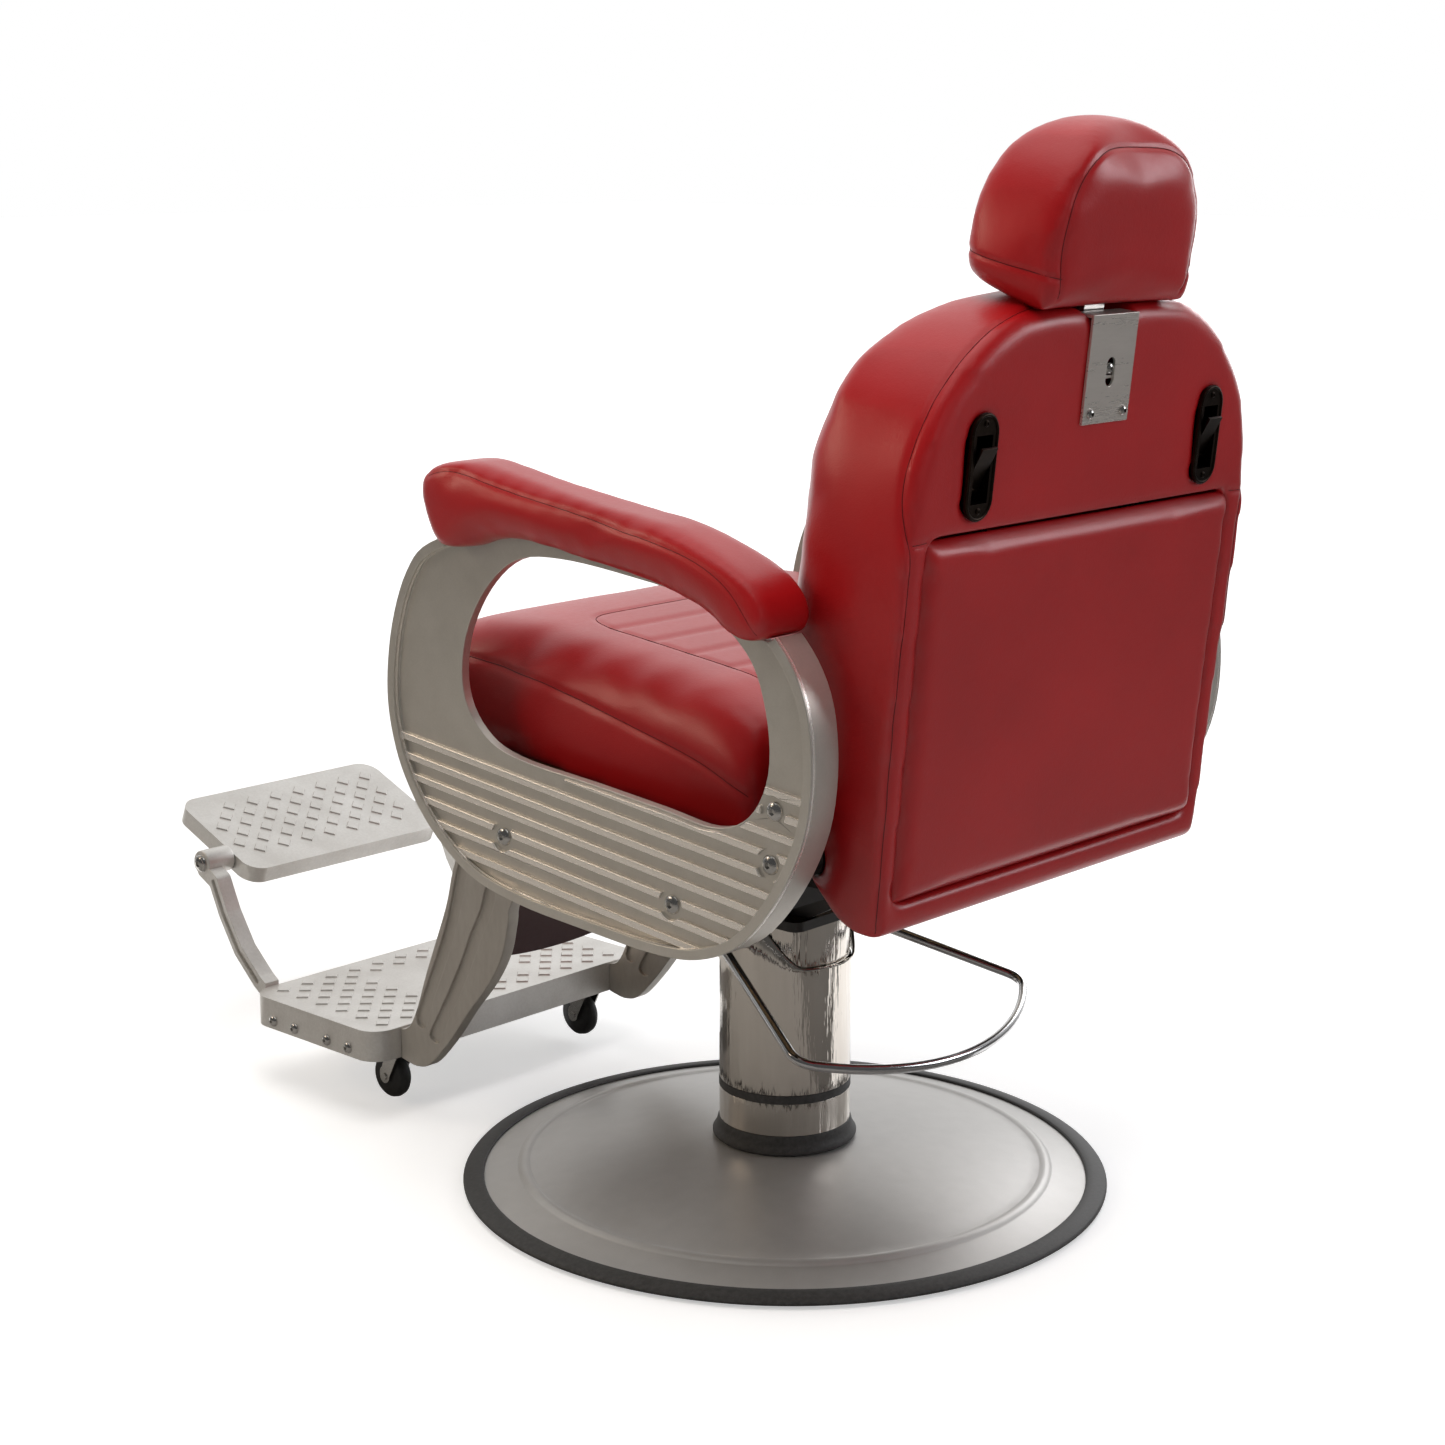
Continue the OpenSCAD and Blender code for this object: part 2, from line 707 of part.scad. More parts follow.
module pump_ram() color([0.8, 0.8, 0.8]) {
    translate([0, 0, ram_z]) cylinder(h = ram_top - ram_z, r = ram_r, $fn = 96);
    translate([0, 0, shoulder_z]) cylinder(h = shoulder_t, r = shoulder_r, $fn = 96);
}

module ram_piston() color([0.5, 0.5, 0.52])
    translate([0, 0, piston_z])
        cylinder(h = piston_h, r = cylinder_bore_r - run_gap, $fn = 96);

module thrust_bearing() color([0.7, 0.66, 0.5])
    tube(thrust_z, thrust_z + thrust_t, shoulder_r - 1, ram_r + seat_gap);

module swivel_socket() color([0.3, 0.3, 0.31])
    difference() {
        tube(socket_z, deck_z, socket_r, ram_r + run_gap);
        for (a = [0 : 60 : 300])
            rotate(a) translate([(socket_r + ram_r) / 2, 0, deck_z - 18])
                cylinder(h = 18 + eps, r = hub_bolt_r + seat_gap);
    }

module head_tube() color([0.78, 0.78, 0.79])
    tube(head_tube_low, deck_z, head_tube_r, head_tube_r - tube_t);

module column_sleeve() color([0.84, 0.84, 0.85])
    tube(sleeve_z, sleeve_top, column_r, sleeve_inner_r);

module column_cover() color([0.8, 0.8, 0.81])
    difference() {
        tube(sleeve_top, deck_z, cover_r, cover_inner_r);
        translate([0, 0, sleeve_top - eps]) rotate([0, 0, 90]) {
            reach = 2 * cover_r;
            for (s = [0 : 7]) {
                angle = cutout_foot_angle + s * (cutout_head_angle - cutout_foot_angle) / 8;
                translate([0, 0, s * cutout_rise / 8])
                    linear_extrude(far)
                        polygon(concat([[0, 0]], [for (a = [-angle : angle / 6 : angle + 0.01])
                            [reach * cos(a), reach * sin(a)]]));
            }
        }
    }

// ---------- seat structure ----------

module seat_yoke() color([0.13, 0.12, 0.11])
    difference() {
        union() {
            translate([-deck_half_w, -deck_half_l, deck_z])
                linear_extrude(deck_t) round_rect(2 * deck_half_w, 2 * deck_half_l, 12);
            both_sides() along_x(web_x, web_x + web_w) polygon([
                [-deck_half_l + 6, deck_top - eps], [deck_half_l - 6, deck_top - eps],
                [rear_tube_y + tube_side / 2, tube_low - 10], [rear_tube_y + tube_side / 2, tube_low],
                [front_tube_y - tube_side / 2, tube_low]
            ]);
        }
        for (a = [0 : 60 : 300])
            rotate(a) translate([(socket_r + ram_r) / 2, 0, deck_z - eps])
                cylinder(h = deck_t + 2 * eps, r = hub_bolt_r + seat_gap);
    }

module socket_bolts() color([0.6, 0.6, 0.6])
    for (a = [0 : 60 : 300])
        rotate(a) translate([(socket_r + ram_r) / 2, 0, 0]) {
            translate([0, 0, deck_z - 16]) cylinder(h = 16 + deck_t, r = hub_bolt_r);
            translate([0, 0, deck_top]) cylinder(h = 7, r = 1.6 * hub_bolt_r, $fn = 6);
        }

// Height of the seat board's underside at a place behind the column's axis
function board_z(y) = deck_z + board_up - y * tan(seat_pitch);

module side_plate() {
    difference() {
        along_x(plate_inner_x, panel_inner_x) polygon(raised(side_plate_edge, deck_z));
        for (s = screw_spots)
            translate([0, s[0], deck_z + s[1]])
                rod_x(plate_inner_x - eps, panel_inner_x + eps, panel_screw_r + seat_gap);
        translate([0, leg_y, leg_z])
            rod_x(plate_inner_x - eps, panel_inner_x + eps, leg_shaft_r + run_gap);
        translate([0, hinge_y, hinge_z])
            rod_x(plate_inner_x - eps, panel_inner_x + eps, hinge_pin_r + run_gap);
    }
    along_x(board_half_w - 24, plate_inner_x + eps) polygon([
        [-200, board_z(-200) - rail_t], [-200, board_z(-200)],
        [board_rear_y, board_z(board_rear_y)], [board_rear_y, board_z(board_rear_y) - rail_t]
    ]);
}

module seat_frame() color([0.15, 0.15, 0.16]) {
    both_sides() side_plate();
    for (y = [front_tube_y, rear_tube_y])
        difference() {
            translate([-plate_inner_x - eps, y - tube_side / 2, tube_low])
                cube([2 * plate_inner_x + 2 * eps, tube_side, tube_side]);
            translate([-plate_inner_x + 5, y - tube_side / 2 + tube_wall, tube_low + tube_wall])
                cube([2 * plate_inner_x - 10, tube_side - 2 * tube_wall, tube_side - 2 * tube_wall]);
        }
}

module pump_block() color([0.2, 0.2, 0.21])
    difference() {
        translate([-30, lever_y - 25, deck_z - lever_down - 20]) cube([60, 44, lever_down + 20]);
        translate([0, lever_y, deck_z - lever_down])
            rod_x(-30 - eps, 30 + eps, lever_shaft_r + run_gap);
    }

module leg_shaft() color([0.65, 0.65, 0.66])
    translate([0, leg_y, leg_z]) {
        rod_x(-panel_inner_x, panel_inner_x, leg_shaft_r);
        both_sides() {
            rod_x(leg_face_x + seat_gap, leg_face_x + link_t, leg_shaft_r + 2);
            rod_x(leg_face_x - leg_t - 6, leg_face_x - leg_t - seat_gap, leg_shaft_r + 4);
        }
    }

brake_x0 = 104;
brake_x1 = 136;
brake_r = torsion_r + 9;
brake_mid_x = (brake_x0 + brake_x1) / 2;
release_rod_r = 3;
release_y = back_rear - latch_depth - 6;
release_z = brake_r + release_rod_r + seat_gap;

module release_bar(turn, l)
    rotate(turn) cylinder(h = l, r = release_rod_r, $fn = 24);

module recline_brakes() color([0.24, 0.24, 0.26])
    both_sides() difference() {
        along_x(brake_x0, brake_x1) {
            translate([hinge_y, hinge_z]) circle(brake_r);
            polygon([
                [hinge_y - 8, hinge_z - brake_r + 2], [hinge_y - brake_r, hinge_z - 2],
                [rear_tube_y - tube_side / 2, tube_high + 14],
                [rear_tube_y - tube_side / 2, tube_high], [rear_tube_y + tube_side / 2 + 8, tube_high]
            ]);
        }
        translate([0, hinge_y, hinge_z])
            rod_x(brake_x0 - eps, brake_x1 + eps, torsion_r + run_gap);
    }

module hinge_pins() color([0.65, 0.65, 0.66])
    both_sides() translate([0, hinge_y, hinge_z]) {
        rod_x(upright_half_w - 4, panel_inner_x, hinge_pin_r);
        rod_x(plate_inner_x - 4 - seat_gap, plate_inner_x - seat_gap, hinge_pin_r + 5);
    }

module seat_board() color([0.62, 0.5, 0.35])
    along_x(-board_half_w, board_half_w) polygon([
        [board_front_y, board_z(board_front_y) + seat_gap],
        [board_rear_y, board_z(board_rear_y) + seat_gap],
        [board_rear_y, board_z(board_rear_y) + board_t],
        [board_front_y, board_z(board_front_y) + board_t]
    ]);

// Seat cushion profile lifted onto the pitched board; drop lowers its crown at the sides
function cushion_profile(drop) =
    [for (p = smooth_open(cushion_edge, 3))
        [p[0], board_z(p[0]) + board_t + cushion_gap + max(0, p[1] * (1 - drop / crown_up))]];

module seat_cushion() color([0.6, 0.08, 0.1])
    hull() {
        along_x(-seat_half_w + seat_roll, seat_half_w - seat_roll) polygon(cushion_profile(0));
        along_x(-seat_half_w, seat_half_w) polygon(cushion_profile(shoulder_drop));
    }

// ---------- side panels and arm pads ----------

function panel_outline() = raised(smooth(panel_edge), deck_z);
function window_outline() = raised(smooth(window_edge), deck_z);
function arm_pad_outline() = raised(smooth(arm_pad_edge, 4), deck_z);

// Slanted band of cast ribs, without the pockets round the screws
module ribs_2d() {
    difference() {
        intersection() {
            for (i = [rib_first : rib_last])
                translate([0, deck_z + rib_line_up - i * rib_pitch]) rotate(-seat_pitch)
                    translate([i < 0 ? 0 : -400, -rib_w / 2]) square([800, rib_w]);
            polygon(grown(panel_outline(), 2 - rim_w));
        }
        polygon(grown(window_outline(), 3));
        for (s = screw_spots)
            translate([s[0], s[1] + deck_z]) circle(pocket_r, $fn = 32);
    }
}

module side_panel() color([0.68, 0.67, 0.65])
    difference() {
        union() {
            along_x(panel_inner_x, panel_outer_x) difference() {
                polygon(panel_outline());
                polygon(grown(panel_outline(), -rim_w));
            }
            along_x(panel_face_x - web_t, panel_face_x) difference() {
                polygon(grown(panel_outline(), -1));
                polygon(window_outline());
            }
            along_x(panel_face_x - 1, panel_face_x + rib_h) ribs_2d();
            for (s = screw_spots)
                translate([0, s[0], s[1] + deck_z])
                    rod_x(panel_inner_x, panel_face_x, panel_screw_head_r + 2);
        }
        along_x(panel_inner_x - eps, panel_outer_x + eps)
            polygon(grown(arm_pad_outline(), seat_gap));
        for (s = screw_spots)
            translate([0, s[0], s[1] + deck_z])
                rod_x(panel_inner_x - eps, panel_outer_x, panel_screw_r + seat_gap);
    }

module side_panel_left() side_panel();
module side_panel_right() mirror([1, 0, 0]) side_panel();

module panel_screws() color([0.8, 0.8, 0.8])
    both_sides()
        for (s = screw_spots)
            translate([panel_face_x, s[0], s[1] + deck_z]) rotate([0, 90, 0])
                button_screw(panel_screw_head_r, 5, panel_screw_r, panel_face_x - plate_inner_x);

module arm_pad() color([0.6, 0.08, 0.1])
    along_x(panel_outer_x + arm_pad_proud - arm_pad_w, panel_outer_x + arm_pad_proud)
        polygon(arm_pad_outline());

module arm_pad_left() arm_pad();
module arm_pad_right() mirror([1, 0, 0]) arm_pad();

// ---------- pump lever ----------

// Round rod between two points
module rod_between(p, q, r) {
    d = q - p;
    translate(p) rotate([0, acos(d[2] / norm(d)), atan2(d[1], d[0])])
        cylinder(h = norm(d), r = r, $fn = 32);
}

lever_root = [lever_root_half_w, 0, 0];
lever_corner = [lever_half_w, lever_reach, 0];

// The loop's bar is an arc through both corners
bow_r = (pow(lever_half_w, 2) + pow(lever_bow, 2)) / (2 * lever_bow);
bow_angle = asin(lever_half_w / bow_r);

module pump_lever() color([0.82, 0.82, 0.83])
    translate([0, lever_y, deck_z - lever_down]) rotate([-lever_slope, 0, 0]) {
        both_sides() {
            rod_between(lever_root, lever_corner, lever_rod_r);
            translate(lever_corner) sphere(lever_rod_r + 0.5, $fn = 32);
        }
        rod_x(-lever_root_half_w - 6, lever_root_half_w + 6, lever_shaft_r);
        translate([0, lever_reach + lever_bow - bow_r, 0]) rotate([0, 0, 90 - bow_angle])
            rotate_extrude(angle = 2 * bow_angle, $fn = 128)
                translate([bow_r, 0]) circle(lever_rod_r, $fn = 32);
    }

// ---------- backrest, in its own leaning frame ----------

module back_body() {
    difference() {
        intersection() {
            along_y(-far / 4, back_rear) polygon(mirrored(back_outline));
            along_x(-far / 2, far / 2) polygon(back_profile);
        }
        // dent under the lowered headrest
        along_x(-headrest_half_w, headrest_half_w) polygon(grown(headrest_profile, seat_gap));
    }
}

slot_x0 = leg_face_x - 20;
slot_x1 = leg_face_x + link_t + 8;

module back_cushion() color([0.6, 0.08, 0.1]) in_back()
    difference() {
        back_body();
        // room for the frame behind the foam
        translate([-upright_half_w - 6, pocket_front, pocket_low])
            cube([2 * upright_half_w + 12, far, latch_mid + 20 - pocket_low]);
        translate([-latch_x - latch_w / 2, pocket_front, latch_mid])
            cube([2 * latch_x + latch_w, far, 445 - latch_mid]);
        // seats of the two rear panels
        translate([-lower_panel_half_w - seat_gap, back_rear - panel_t - seat_gap, lower_panel_low - seat_gap])
            cube([2 * (lower_panel_half_w + seat_gap), far, lower_panel_high - lower_panel_low + 5]);
        translate([-far / 2, back_rear - panel_t - seat_gap, lower_panel_high + 4])
            cube([far, far, far]);
        // way out for the headrest bar
        translate([-bracket_w / 2 - 2, bar_depth - bar_t - 12, 440])
            cube([bracket_w + 4, far, far]);
        // torsion tube and its pins
        rod_x(-far / 2, far / 2, hinge_pin_r + 6);
        rod_x(-torsion_half_l - 2, torsion_half_l + 2, torsion_r + 2);
        // brakes and cranks at the foot
        both_sides() {
            translate([brake_x0 - 3, -far, -far]) cube([brake_x1 - brake_x0 + 6, far + 36, far + 32]);
            translate([slot_x0, -far, -far]) cube([slot_x1 - slot_x0, far + 30, far + 20]);
        }
    }

module latch_hole() {
    translate([latch_x, 0, latch_mid]) rotate([90, 0, 0])
        translate([0, 0, -far]) linear_extrude(2 * far)
            stadium(latch_w - 2 * latch_rim + 2, latch_h - 2 * latch_rim + 2);
}

module back_upper_panel() color([0.6, 0.08, 0.1]) in_back()
    difference() {
        intersection() {
            back_body();
            translate([-far / 2, back_rear - panel_t, lower_panel_high + 4 + seat_gap])
                cube([far, panel_t, far]);
        }
        both_sides() latch_hole();
        translate([-bracket_w / 2 - 2, back_rear - panel_t - eps, bracket_low + 18])
            cube([bracket_w + 4, far, far]);
        both_sides() translate([bracket_screw_x, 0, bracket_low + bracket_screw_up]) rotate([90, 0, 0])
            translate([0, 0, -far / 2]) cylinder(h = far, r = 2.5 + seat_gap);
    }

module back_lower_panel() color([0.6, 0.08, 0.1]) in_back()
    translate([-lower_panel_half_w, back_rear - panel_t, lower_panel_low])
        cube([2 * lower_panel_half_w, panel_t, lower_panel_high - lower_panel_low]);

module back_frame() color([0.18, 0.18, 0.2]) in_back() {
    difference() {
        union() {
            rod_x(-torsion_half_l, torsion_half_l, torsion_r);
            both_sides() {
                translate([upright_half_w - upright_w, -upright_d / 2, 0])
                    cube([upright_w, upright_d, cross_bar_low + cross_bar_h]);
                along_x(leg_face_x - 12, leg_face_x) rotate(back_lean)
                    bar_2d([0, 0], [crank_y, crank_z], 24);
            }
            for (z = [150, cross_bar_low])
                translate([-upright_half_w + upright_w - eps, -upright_d / 2, z])
                    cube([2 * (upright_half_w - upright_w + eps), upright_d, cross_bar_h]);
        }
        rod_x(-far, far, hinge_pin_r + run_gap);
        both_sides() rotate([back_lean, 0, 0]) translate([0, crank_y, crank_z])
            rod_x(leg_face_x - 12 - eps, leg_face_x + eps, link_pin_r - seat_gap);
    }
    both_sides() rotate([back_lean, 0, 0]) translate([0, crank_y, crank_z])
        rod_x(leg_face_x - 13, leg_face_x + link_t + 2, link_pin_r);
}

module headrest_guide() color([0.3, 0.3, 0.31]) in_back()
    difference() {
        union() {
            translate([-bar_w / 2 - guide_wall, bar_depth - bar_t / 2 - guide_wall, guide_low])
                cube([bar_w + 2 * guide_wall, bar_t + 2 * guide_wall, guide_high - guide_low]);
            translate([-bar_w / 2 - guide_wall, upright_d / 2, cross_bar_low + 1])
                cube([bar_w + 2 * guide_wall, bar_depth - bar_t / 2 - upright_d / 2 - 1, cross_bar_h - 2]);
        }
        translate([-bar_w / 2 - run_gap, bar_depth - bar_t / 2 - run_gap, guide_low - eps])
            cube([bar_w + 2 * run_gap, bar_t + 2 * run_gap, guide_high - guide_low + 2 * eps]);
    }

module headrest_bracket() color([0.7, 0.69, 0.67]) in_back()
    difference() {
        union() {
            translate([-bracket_w / 2, back_rear + seat_gap, bracket_low])
                cube([bracket_w, bracket_t, bracket_h]);
            translate([-bracket_w / 2, bar_depth + bar_t / 2 + guide_wall, bracket_low + bracket_h - bracket_t])
                cube([bracket_w, back_rear - bar_depth - bar_t / 2 - guide_wall + seat_gap + bracket_t, bracket_t]);
            translate([-bar_w / 2, bar_depth + bar_t / 2 + guide_wall, bracket_low + 40])
                cube([bar_w, back_rear - bar_depth - bar_t / 2 - guide_wall + seat_gap + eps, bracket_t]);
        }
        both_sides() translate([bracket_screw_x, back_rear - eps, bracket_low + bracket_screw_up]) rotate([-90, 0, 0])
            cylinder(h = 2 * bracket_t, r = 2.7);
        translate([0, back_rear - eps, bracket_low + bracket_slot_up]) rotate([-90, 0, 0])
            linear_extrude(2 * bracket_t) stadium(bracket_slot_w, bracket_slot_h);
    }

module latch_bezels() color([0.12, 0.1, 0.09]) in_back()
    both_sides() translate([latch_x, 0, latch_mid])
        difference() {
            union() {
                along_y(back_rear + seat_gap, back_rear + seat_gap + 2.5) stadium(latch_w, latch_h);
                along_y(back_rear - latch_depth, back_rear + 1)
                    stadium(latch_w - 2 * latch_rim, latch_h - 2 * latch_rim);
            }
            translate([0, 0, -2]) along_y(back_rear - latch_depth + 2, far)
                square([latch_w - 2 * latch_rim - 5, latch_h - 2 * latch_end_h], center = true);
            translate([0, paddle_pin_y, paddle_pin_z]) rod_x(-latch_w, latch_w, 1.6);
            for (s = [-1, 1]) translate([0, back_rear - 8, s * (latch_h / 2 - latch_screw_in)])
                rotate([-90, 0, 0]) cylinder(h = 20, r = 1.7);
        }

paddle_pin_y = back_rear - 9;
paddle_pin_z = -22;
paddle_lean = 24;
paddle_w = latch_w - 2 * latch_rim - 6;

// Recline paddle on its own pin; it leans out of the cup at its head
module paddle() color([0.16, 0.13, 0.11]) in_back()
    translate([latch_x, paddle_pin_y, latch_mid + paddle_pin_z]) {
        rotate([-paddle_lean, 0, 0]) {
            translate([-paddle_w / 2, -paddle_t / 2, -6]) cube([paddle_w, paddle_t, paddle_l + 6]);
            rod_x(-paddle_w / 2, paddle_w / 2, 3.2);
        }
        rod_x(-latch_w / 2 + latch_rim + 0.5, latch_w / 2 - latch_rim - 0.5, 1.55);
    }

module paddle_left() paddle();
module paddle_right() mirror([1, 0, 0]) paddle();

module back_screws() color([0.8, 0.8, 0.8]) in_back() {
    both_sides() translate([bracket_screw_x, back_rear + seat_gap + bracket_t,
        bracket_low + bracket_screw_up]) rotate([-90, 0, 0]) button_screw(4.5, 3, 2.5, bracket_t + 8);
    both_sides()
        for (s = [-1, 1])
            translate([latch_x, back_rear + seat_gap + 2.5,
                latch_mid + s * (latch_h / 2 - latch_screw_in)])
                rotate([-90, 0, 0]) button_screw(3, 1.6, 1.5, 9);
}

// Rod from a brake up to its latch; it passes clear over the brake's barrel
module release_rods() color([0.6, 0.6, 0.62]) in_back()
    both_sides() translate([brake_mid_x, release_y, release_z]) {
        release_bar([0, 0, 0], latch_mid - release_z);
        release_bar([90, 0, 0], release_y);
        translate([0, 0, latch_mid - release_z]) {
            release_bar([0, 90, 0], latch_x - brake_mid_x);
            translate([latch_x - brake_mid_x, 0, 0])
                release_bar([-90, 0, 0], back_rear - latch_depth - release_y - seat_gap);
        }
    }

// ---------- headrest ----------

module headrest_bar() color([0.75, 0.75, 0.76]) in_back() {
    translate([-bar_w / 2, bar_depth - bar_t / 2, bar_low])
        cube([bar_w, bar_t, headrest_plate_high - bar_low]);
    translate([-headrest_plate_half_w, bar_depth - bar_t / 2, headrest_plate_low])
        cube([2 * headrest_plate_half_w, bar_t, headrest_plate_h]);
}

module headrest_pad() color([0.6, 0.08, 0.1]) in_back()
    difference() {
        intersection() {
            translate([0, 0, headrest_top])
                along_y(-20, 120) polygon(mirrored(headrest_outline));
            along_x(-far / 2, far / 2) polygon(headrest_profile);
            linear_extrude(far) polygon(mirrored(headrest_plan));
        }
        translate([-headrest_plate_half_w - seat_gap, bar_depth - bar_t / 2 - seat_gap,
            headrest_slot_low])
            cube([2 * (headrest_plate_half_w + seat_gap), bar_t + 2 * seat_gap,
                headrest_plate_high - headrest_slot_low + seat_gap]);
    }

// ---------- legrest ----------

leg_outline = smooth(concat(
    shifted(leg_head, [leg_y, leg_z]),
    shifted(leg_front_foot, [foot_y, foot_z]),
    shifted(leg_rear_foot, [foot_y, foot_z]),
    [for (i = [2 : -1 : 0]) leg_tail[i] + [leg_y, leg_z]]), 4);

// Outline of a flute from its front wall to a copy of it farther back
function flute_outline(line) =
    let (rear = shifted(line, flute_w * [0.93, -0.37]))
    smooth(concat(line, [for (i = [len(line) - 1 : -1 : 0]) rear[i]]), 3);

module leg() color([0.68, 0.67, 0.65])
    difference() {
        along_x(leg_face_x - leg_t, leg_face_x) difference() {
            polygon(leg_outline);
            translate([foot_y - 100 + seat_gap, foot_z - 100]) square([100, 150]);
        }
        for (f = flute_lines, x = [leg_face_x - flute_depth, leg_face_x - leg_t - flute_depth])
            along_x(x, x + 2 * flute_depth) polygon(shifted(flute_outline(f), [leg_y, leg_z]));
        translate([0, leg_y, leg_z]) rod_x(0, far, leg_shaft_r + run_gap);
        translate([0, leg_y + crank_y, leg_z + crank_z])
            rod_x(leg_face_x - leg_t / 2, leg_face_x + eps, link_pin_r - seat_gap);
    }

module link_pin_front()
    translate([0, leg_y + crank_y, leg_z + crank_z])
        rod_x(leg_face_x - leg_t / 2, leg_face_x + link_t + 2, link_pin_r);

module leg_left() {
    leg();
    color([0.68, 0.67, 0.65]) link_pin_front();
}

module leg_right() mirror([1, 0, 0]) leg_left();

module link_rods() color([0.3, 0.3, 0.32])
    both_sides() difference() {
        along_x(leg_face_x + seat_gap, leg_face_x + link_t)
            bar_2d([leg_y + crank_y, leg_z + crank_z], [hinge_y + crank_y, hinge_z + crank_z], link_w);
        translate([0, leg_y + crank_y, leg_z + crank_z]) rod_x(0, far, link_pin_r + run_gap);
        translate([0, hinge_y + crank_y, hinge_z + crank_z]) rod_x(0, far, link_pin_r + eye_gap);
    }

calf_lean = 22;
calf_board_t = 9;
calf_back = 44;

// Frame of the calf pad: origin at its head on the board's face, +Z up its length
module in_calf() {
    translate([0, leg_y - 92, leg_z - 62]) rotate([-calf_lean, 0, 0])
        translate([0, 0, -calf_l]) children();
}

module calf_outline(inset) {
    sag = 22;
    arc_r = (pow(calf_half_w, 2) + pow(sag, 2)) / (2 * sag);
    intersection() {
        translate([-calf_half_w + inset, -sag]) square([2 * (calf_half_w - inset), calf_l + sag - inset]);
        translate([0, arc_r - sag + inset]) circle(arc_r, $fn = 200);
    }
}

module calf_pad() color([0.6, 0.08, 0.1]) in_calf()
    along_y(-calf_t, 0) calf_outline(0);

module calf_board() color([0.23, 0.1, 0.1]) {
    in_calf() along_y(seat_gap, calf_board_t) calf_outline(3);
    both_sides() in_calf()
        translate([calf_half_w - 6, seat_gap, 60])
            cube([leg_face_x - leg_t - seat_gap - calf_half_w + 6, calf_board_t - seat_gap + 12, 70]);
}

// ---------- footrest ----------

module lower_footplate() color([0.75, 0.74, 0.72])
    difference() {
        union() {
            translate([-foot_half_w, foot_y - foot_l, foot_z - foot_h]) difference() {
                linear_extrude(foot_h) round_rect(2 * foot_half_w, foot_l, foot_corner_r);
                translate([cast_t, cast_t, -eps]) linear_extrude(foot_h - cast_t + eps)
                    round_rect(2 * (foot_half_w - cast_t), foot_l - 2 * cast_t, foot_corner_r - cast_t);
            }
            both_sides() translate([caster_x, caster_y, foot_z - foot_h])
                cylinder(h = foot_h - 1, r = mount_r);
        }
        both_sides() {
            translate([caster_x, caster_y, foot_z - foot_h - eps])
                cylinder(h = foot_h - cast_t, r = stem_r + run_gap);
            translate([arm_inner_x - seat_gap, foot_y - foot_l - eps, foot_z - foot_h - eps])
                cube([arm_t + 2 * seat_gap, 2 * cast_t, foot_h - cast_t + eps]);
            for (y = side_screw_y)
                translate([0, foot_y + y, side_screw_z])
                    rod_x(foot_half_w - 2 * cast_t, foot_half_w + eps, 3 + seat_gap);
        }
    }

arm_path = concat([[0, -8]], arm_curve);

module step_arm() color([0.7, 0.69, 0.67])
    difference() {
        union() {
            along_x(arm_inner_x, arm_inner_x + arm_t) difference() {
                union() {
                    for (i = [0 : len(arm_path) - 2])
                        bar_2d([step_pivot_y, step_pivot_z] + arm_path[i],
                            [step_pivot_y, step_pivot_z] + arm_path[i + 1], arm_w);
                    translate([foot_y - foot_l - 4, foot_z - foot_h + 1])
                        square([60, foot_h - cast_t - 1 - seat_gap]);
                }
                // flat underside and the space taken by the footplate's top
                translate([step_pivot_y - 50, foot_z - foot_h - 100]) square([400, 101]);
                translate([foot_y - foot_l - seat_gap, foot_z - cast_t - seat_gap]) square([400, 60]);
            }
            translate([0, step_pivot_y, step_pivot_z])
                rod_x(step_half_w + seat_gap, arm_inner_x + arm_t, boss_r);
            translate([arm_inner_x, foot_y - foot_l + foot_corner_r + 4, foot_z - foot_h + 1])
                cube([foot_half_w - cast_t - seat_gap - arm_inner_x,
                    foot_l - foot_corner_r - 4 - 36, foot_h - cast_t - 1 - seat_gap]);
        }
        for (y = side_screw_y)
            translate([0, foot_y + y, side_screw_z])
                rod_x(foot_half_w - cast_t - 14, foot_half_w, 3 + seat_gap);
        translate([0, step_pivot_y, step_pivot_z]) rod_x(0, far, bolt_r + seat_gap);
        along_x(arm_inner_x + arm_t - 4, arm_inner_x + arm_t + eps)
            for (i = [1 : len(arm_curve) - 2])
                bar_2d([step_pivot_y, step_pivot_z] + arm_curve[i - 1],
                    [step_pivot_y, step_pivot_z] + arm_curve[i], 7);
    }

module step_arm_left() step_arm();
module step_arm_right() mirror([1, 0, 0]) step_arm();

module footrest_screws() color([0.82, 0.82, 0.82])
    both_sides() {
        for (y = side_screw_y)
            translate([foot_half_w, foot_y + y, side_screw_z]) rotate([0, 90, 0])
                button_screw(5.5, 4, 3, cast_t + 12);
        translate([0, step_pivot_y, step_pivot_z]) {
            rod_x(step_half_w - 14, arm_inner_x + arm_t + 1, bolt_r);
            rod_x(arm_inner_x + arm_t, arm_inner_x + arm_t + 4, bolt_r + 3);
        }
    }

module upper_step() color([0.78, 0.77, 0.75]) in_step()
    difference() {
        union() {
            translate([-step_half_w, step_pivot_in - step_l, -step_h + step_pivot_depth]) difference() {
                linear_extrude(step_h) round_rect(2 * step_half_w, step_l, step_corner_r);
                translate([cast_t, cast_t, -eps]) linear_extrude(step_h - cast_t + eps)
                    round_rect(2 * (step_half_w - cast_t), step_l - 2 * cast_t, step_corner_r - cast_t);
            }
            both_sides() rod_x(step_half_w - 24, step_half_w - 1, step_h / 2);
        }
        both_sides() rod_x(step_half_w - 20, step_half_w + eps, bolt_r + run_gap);
    }

// ---------- casters ----------

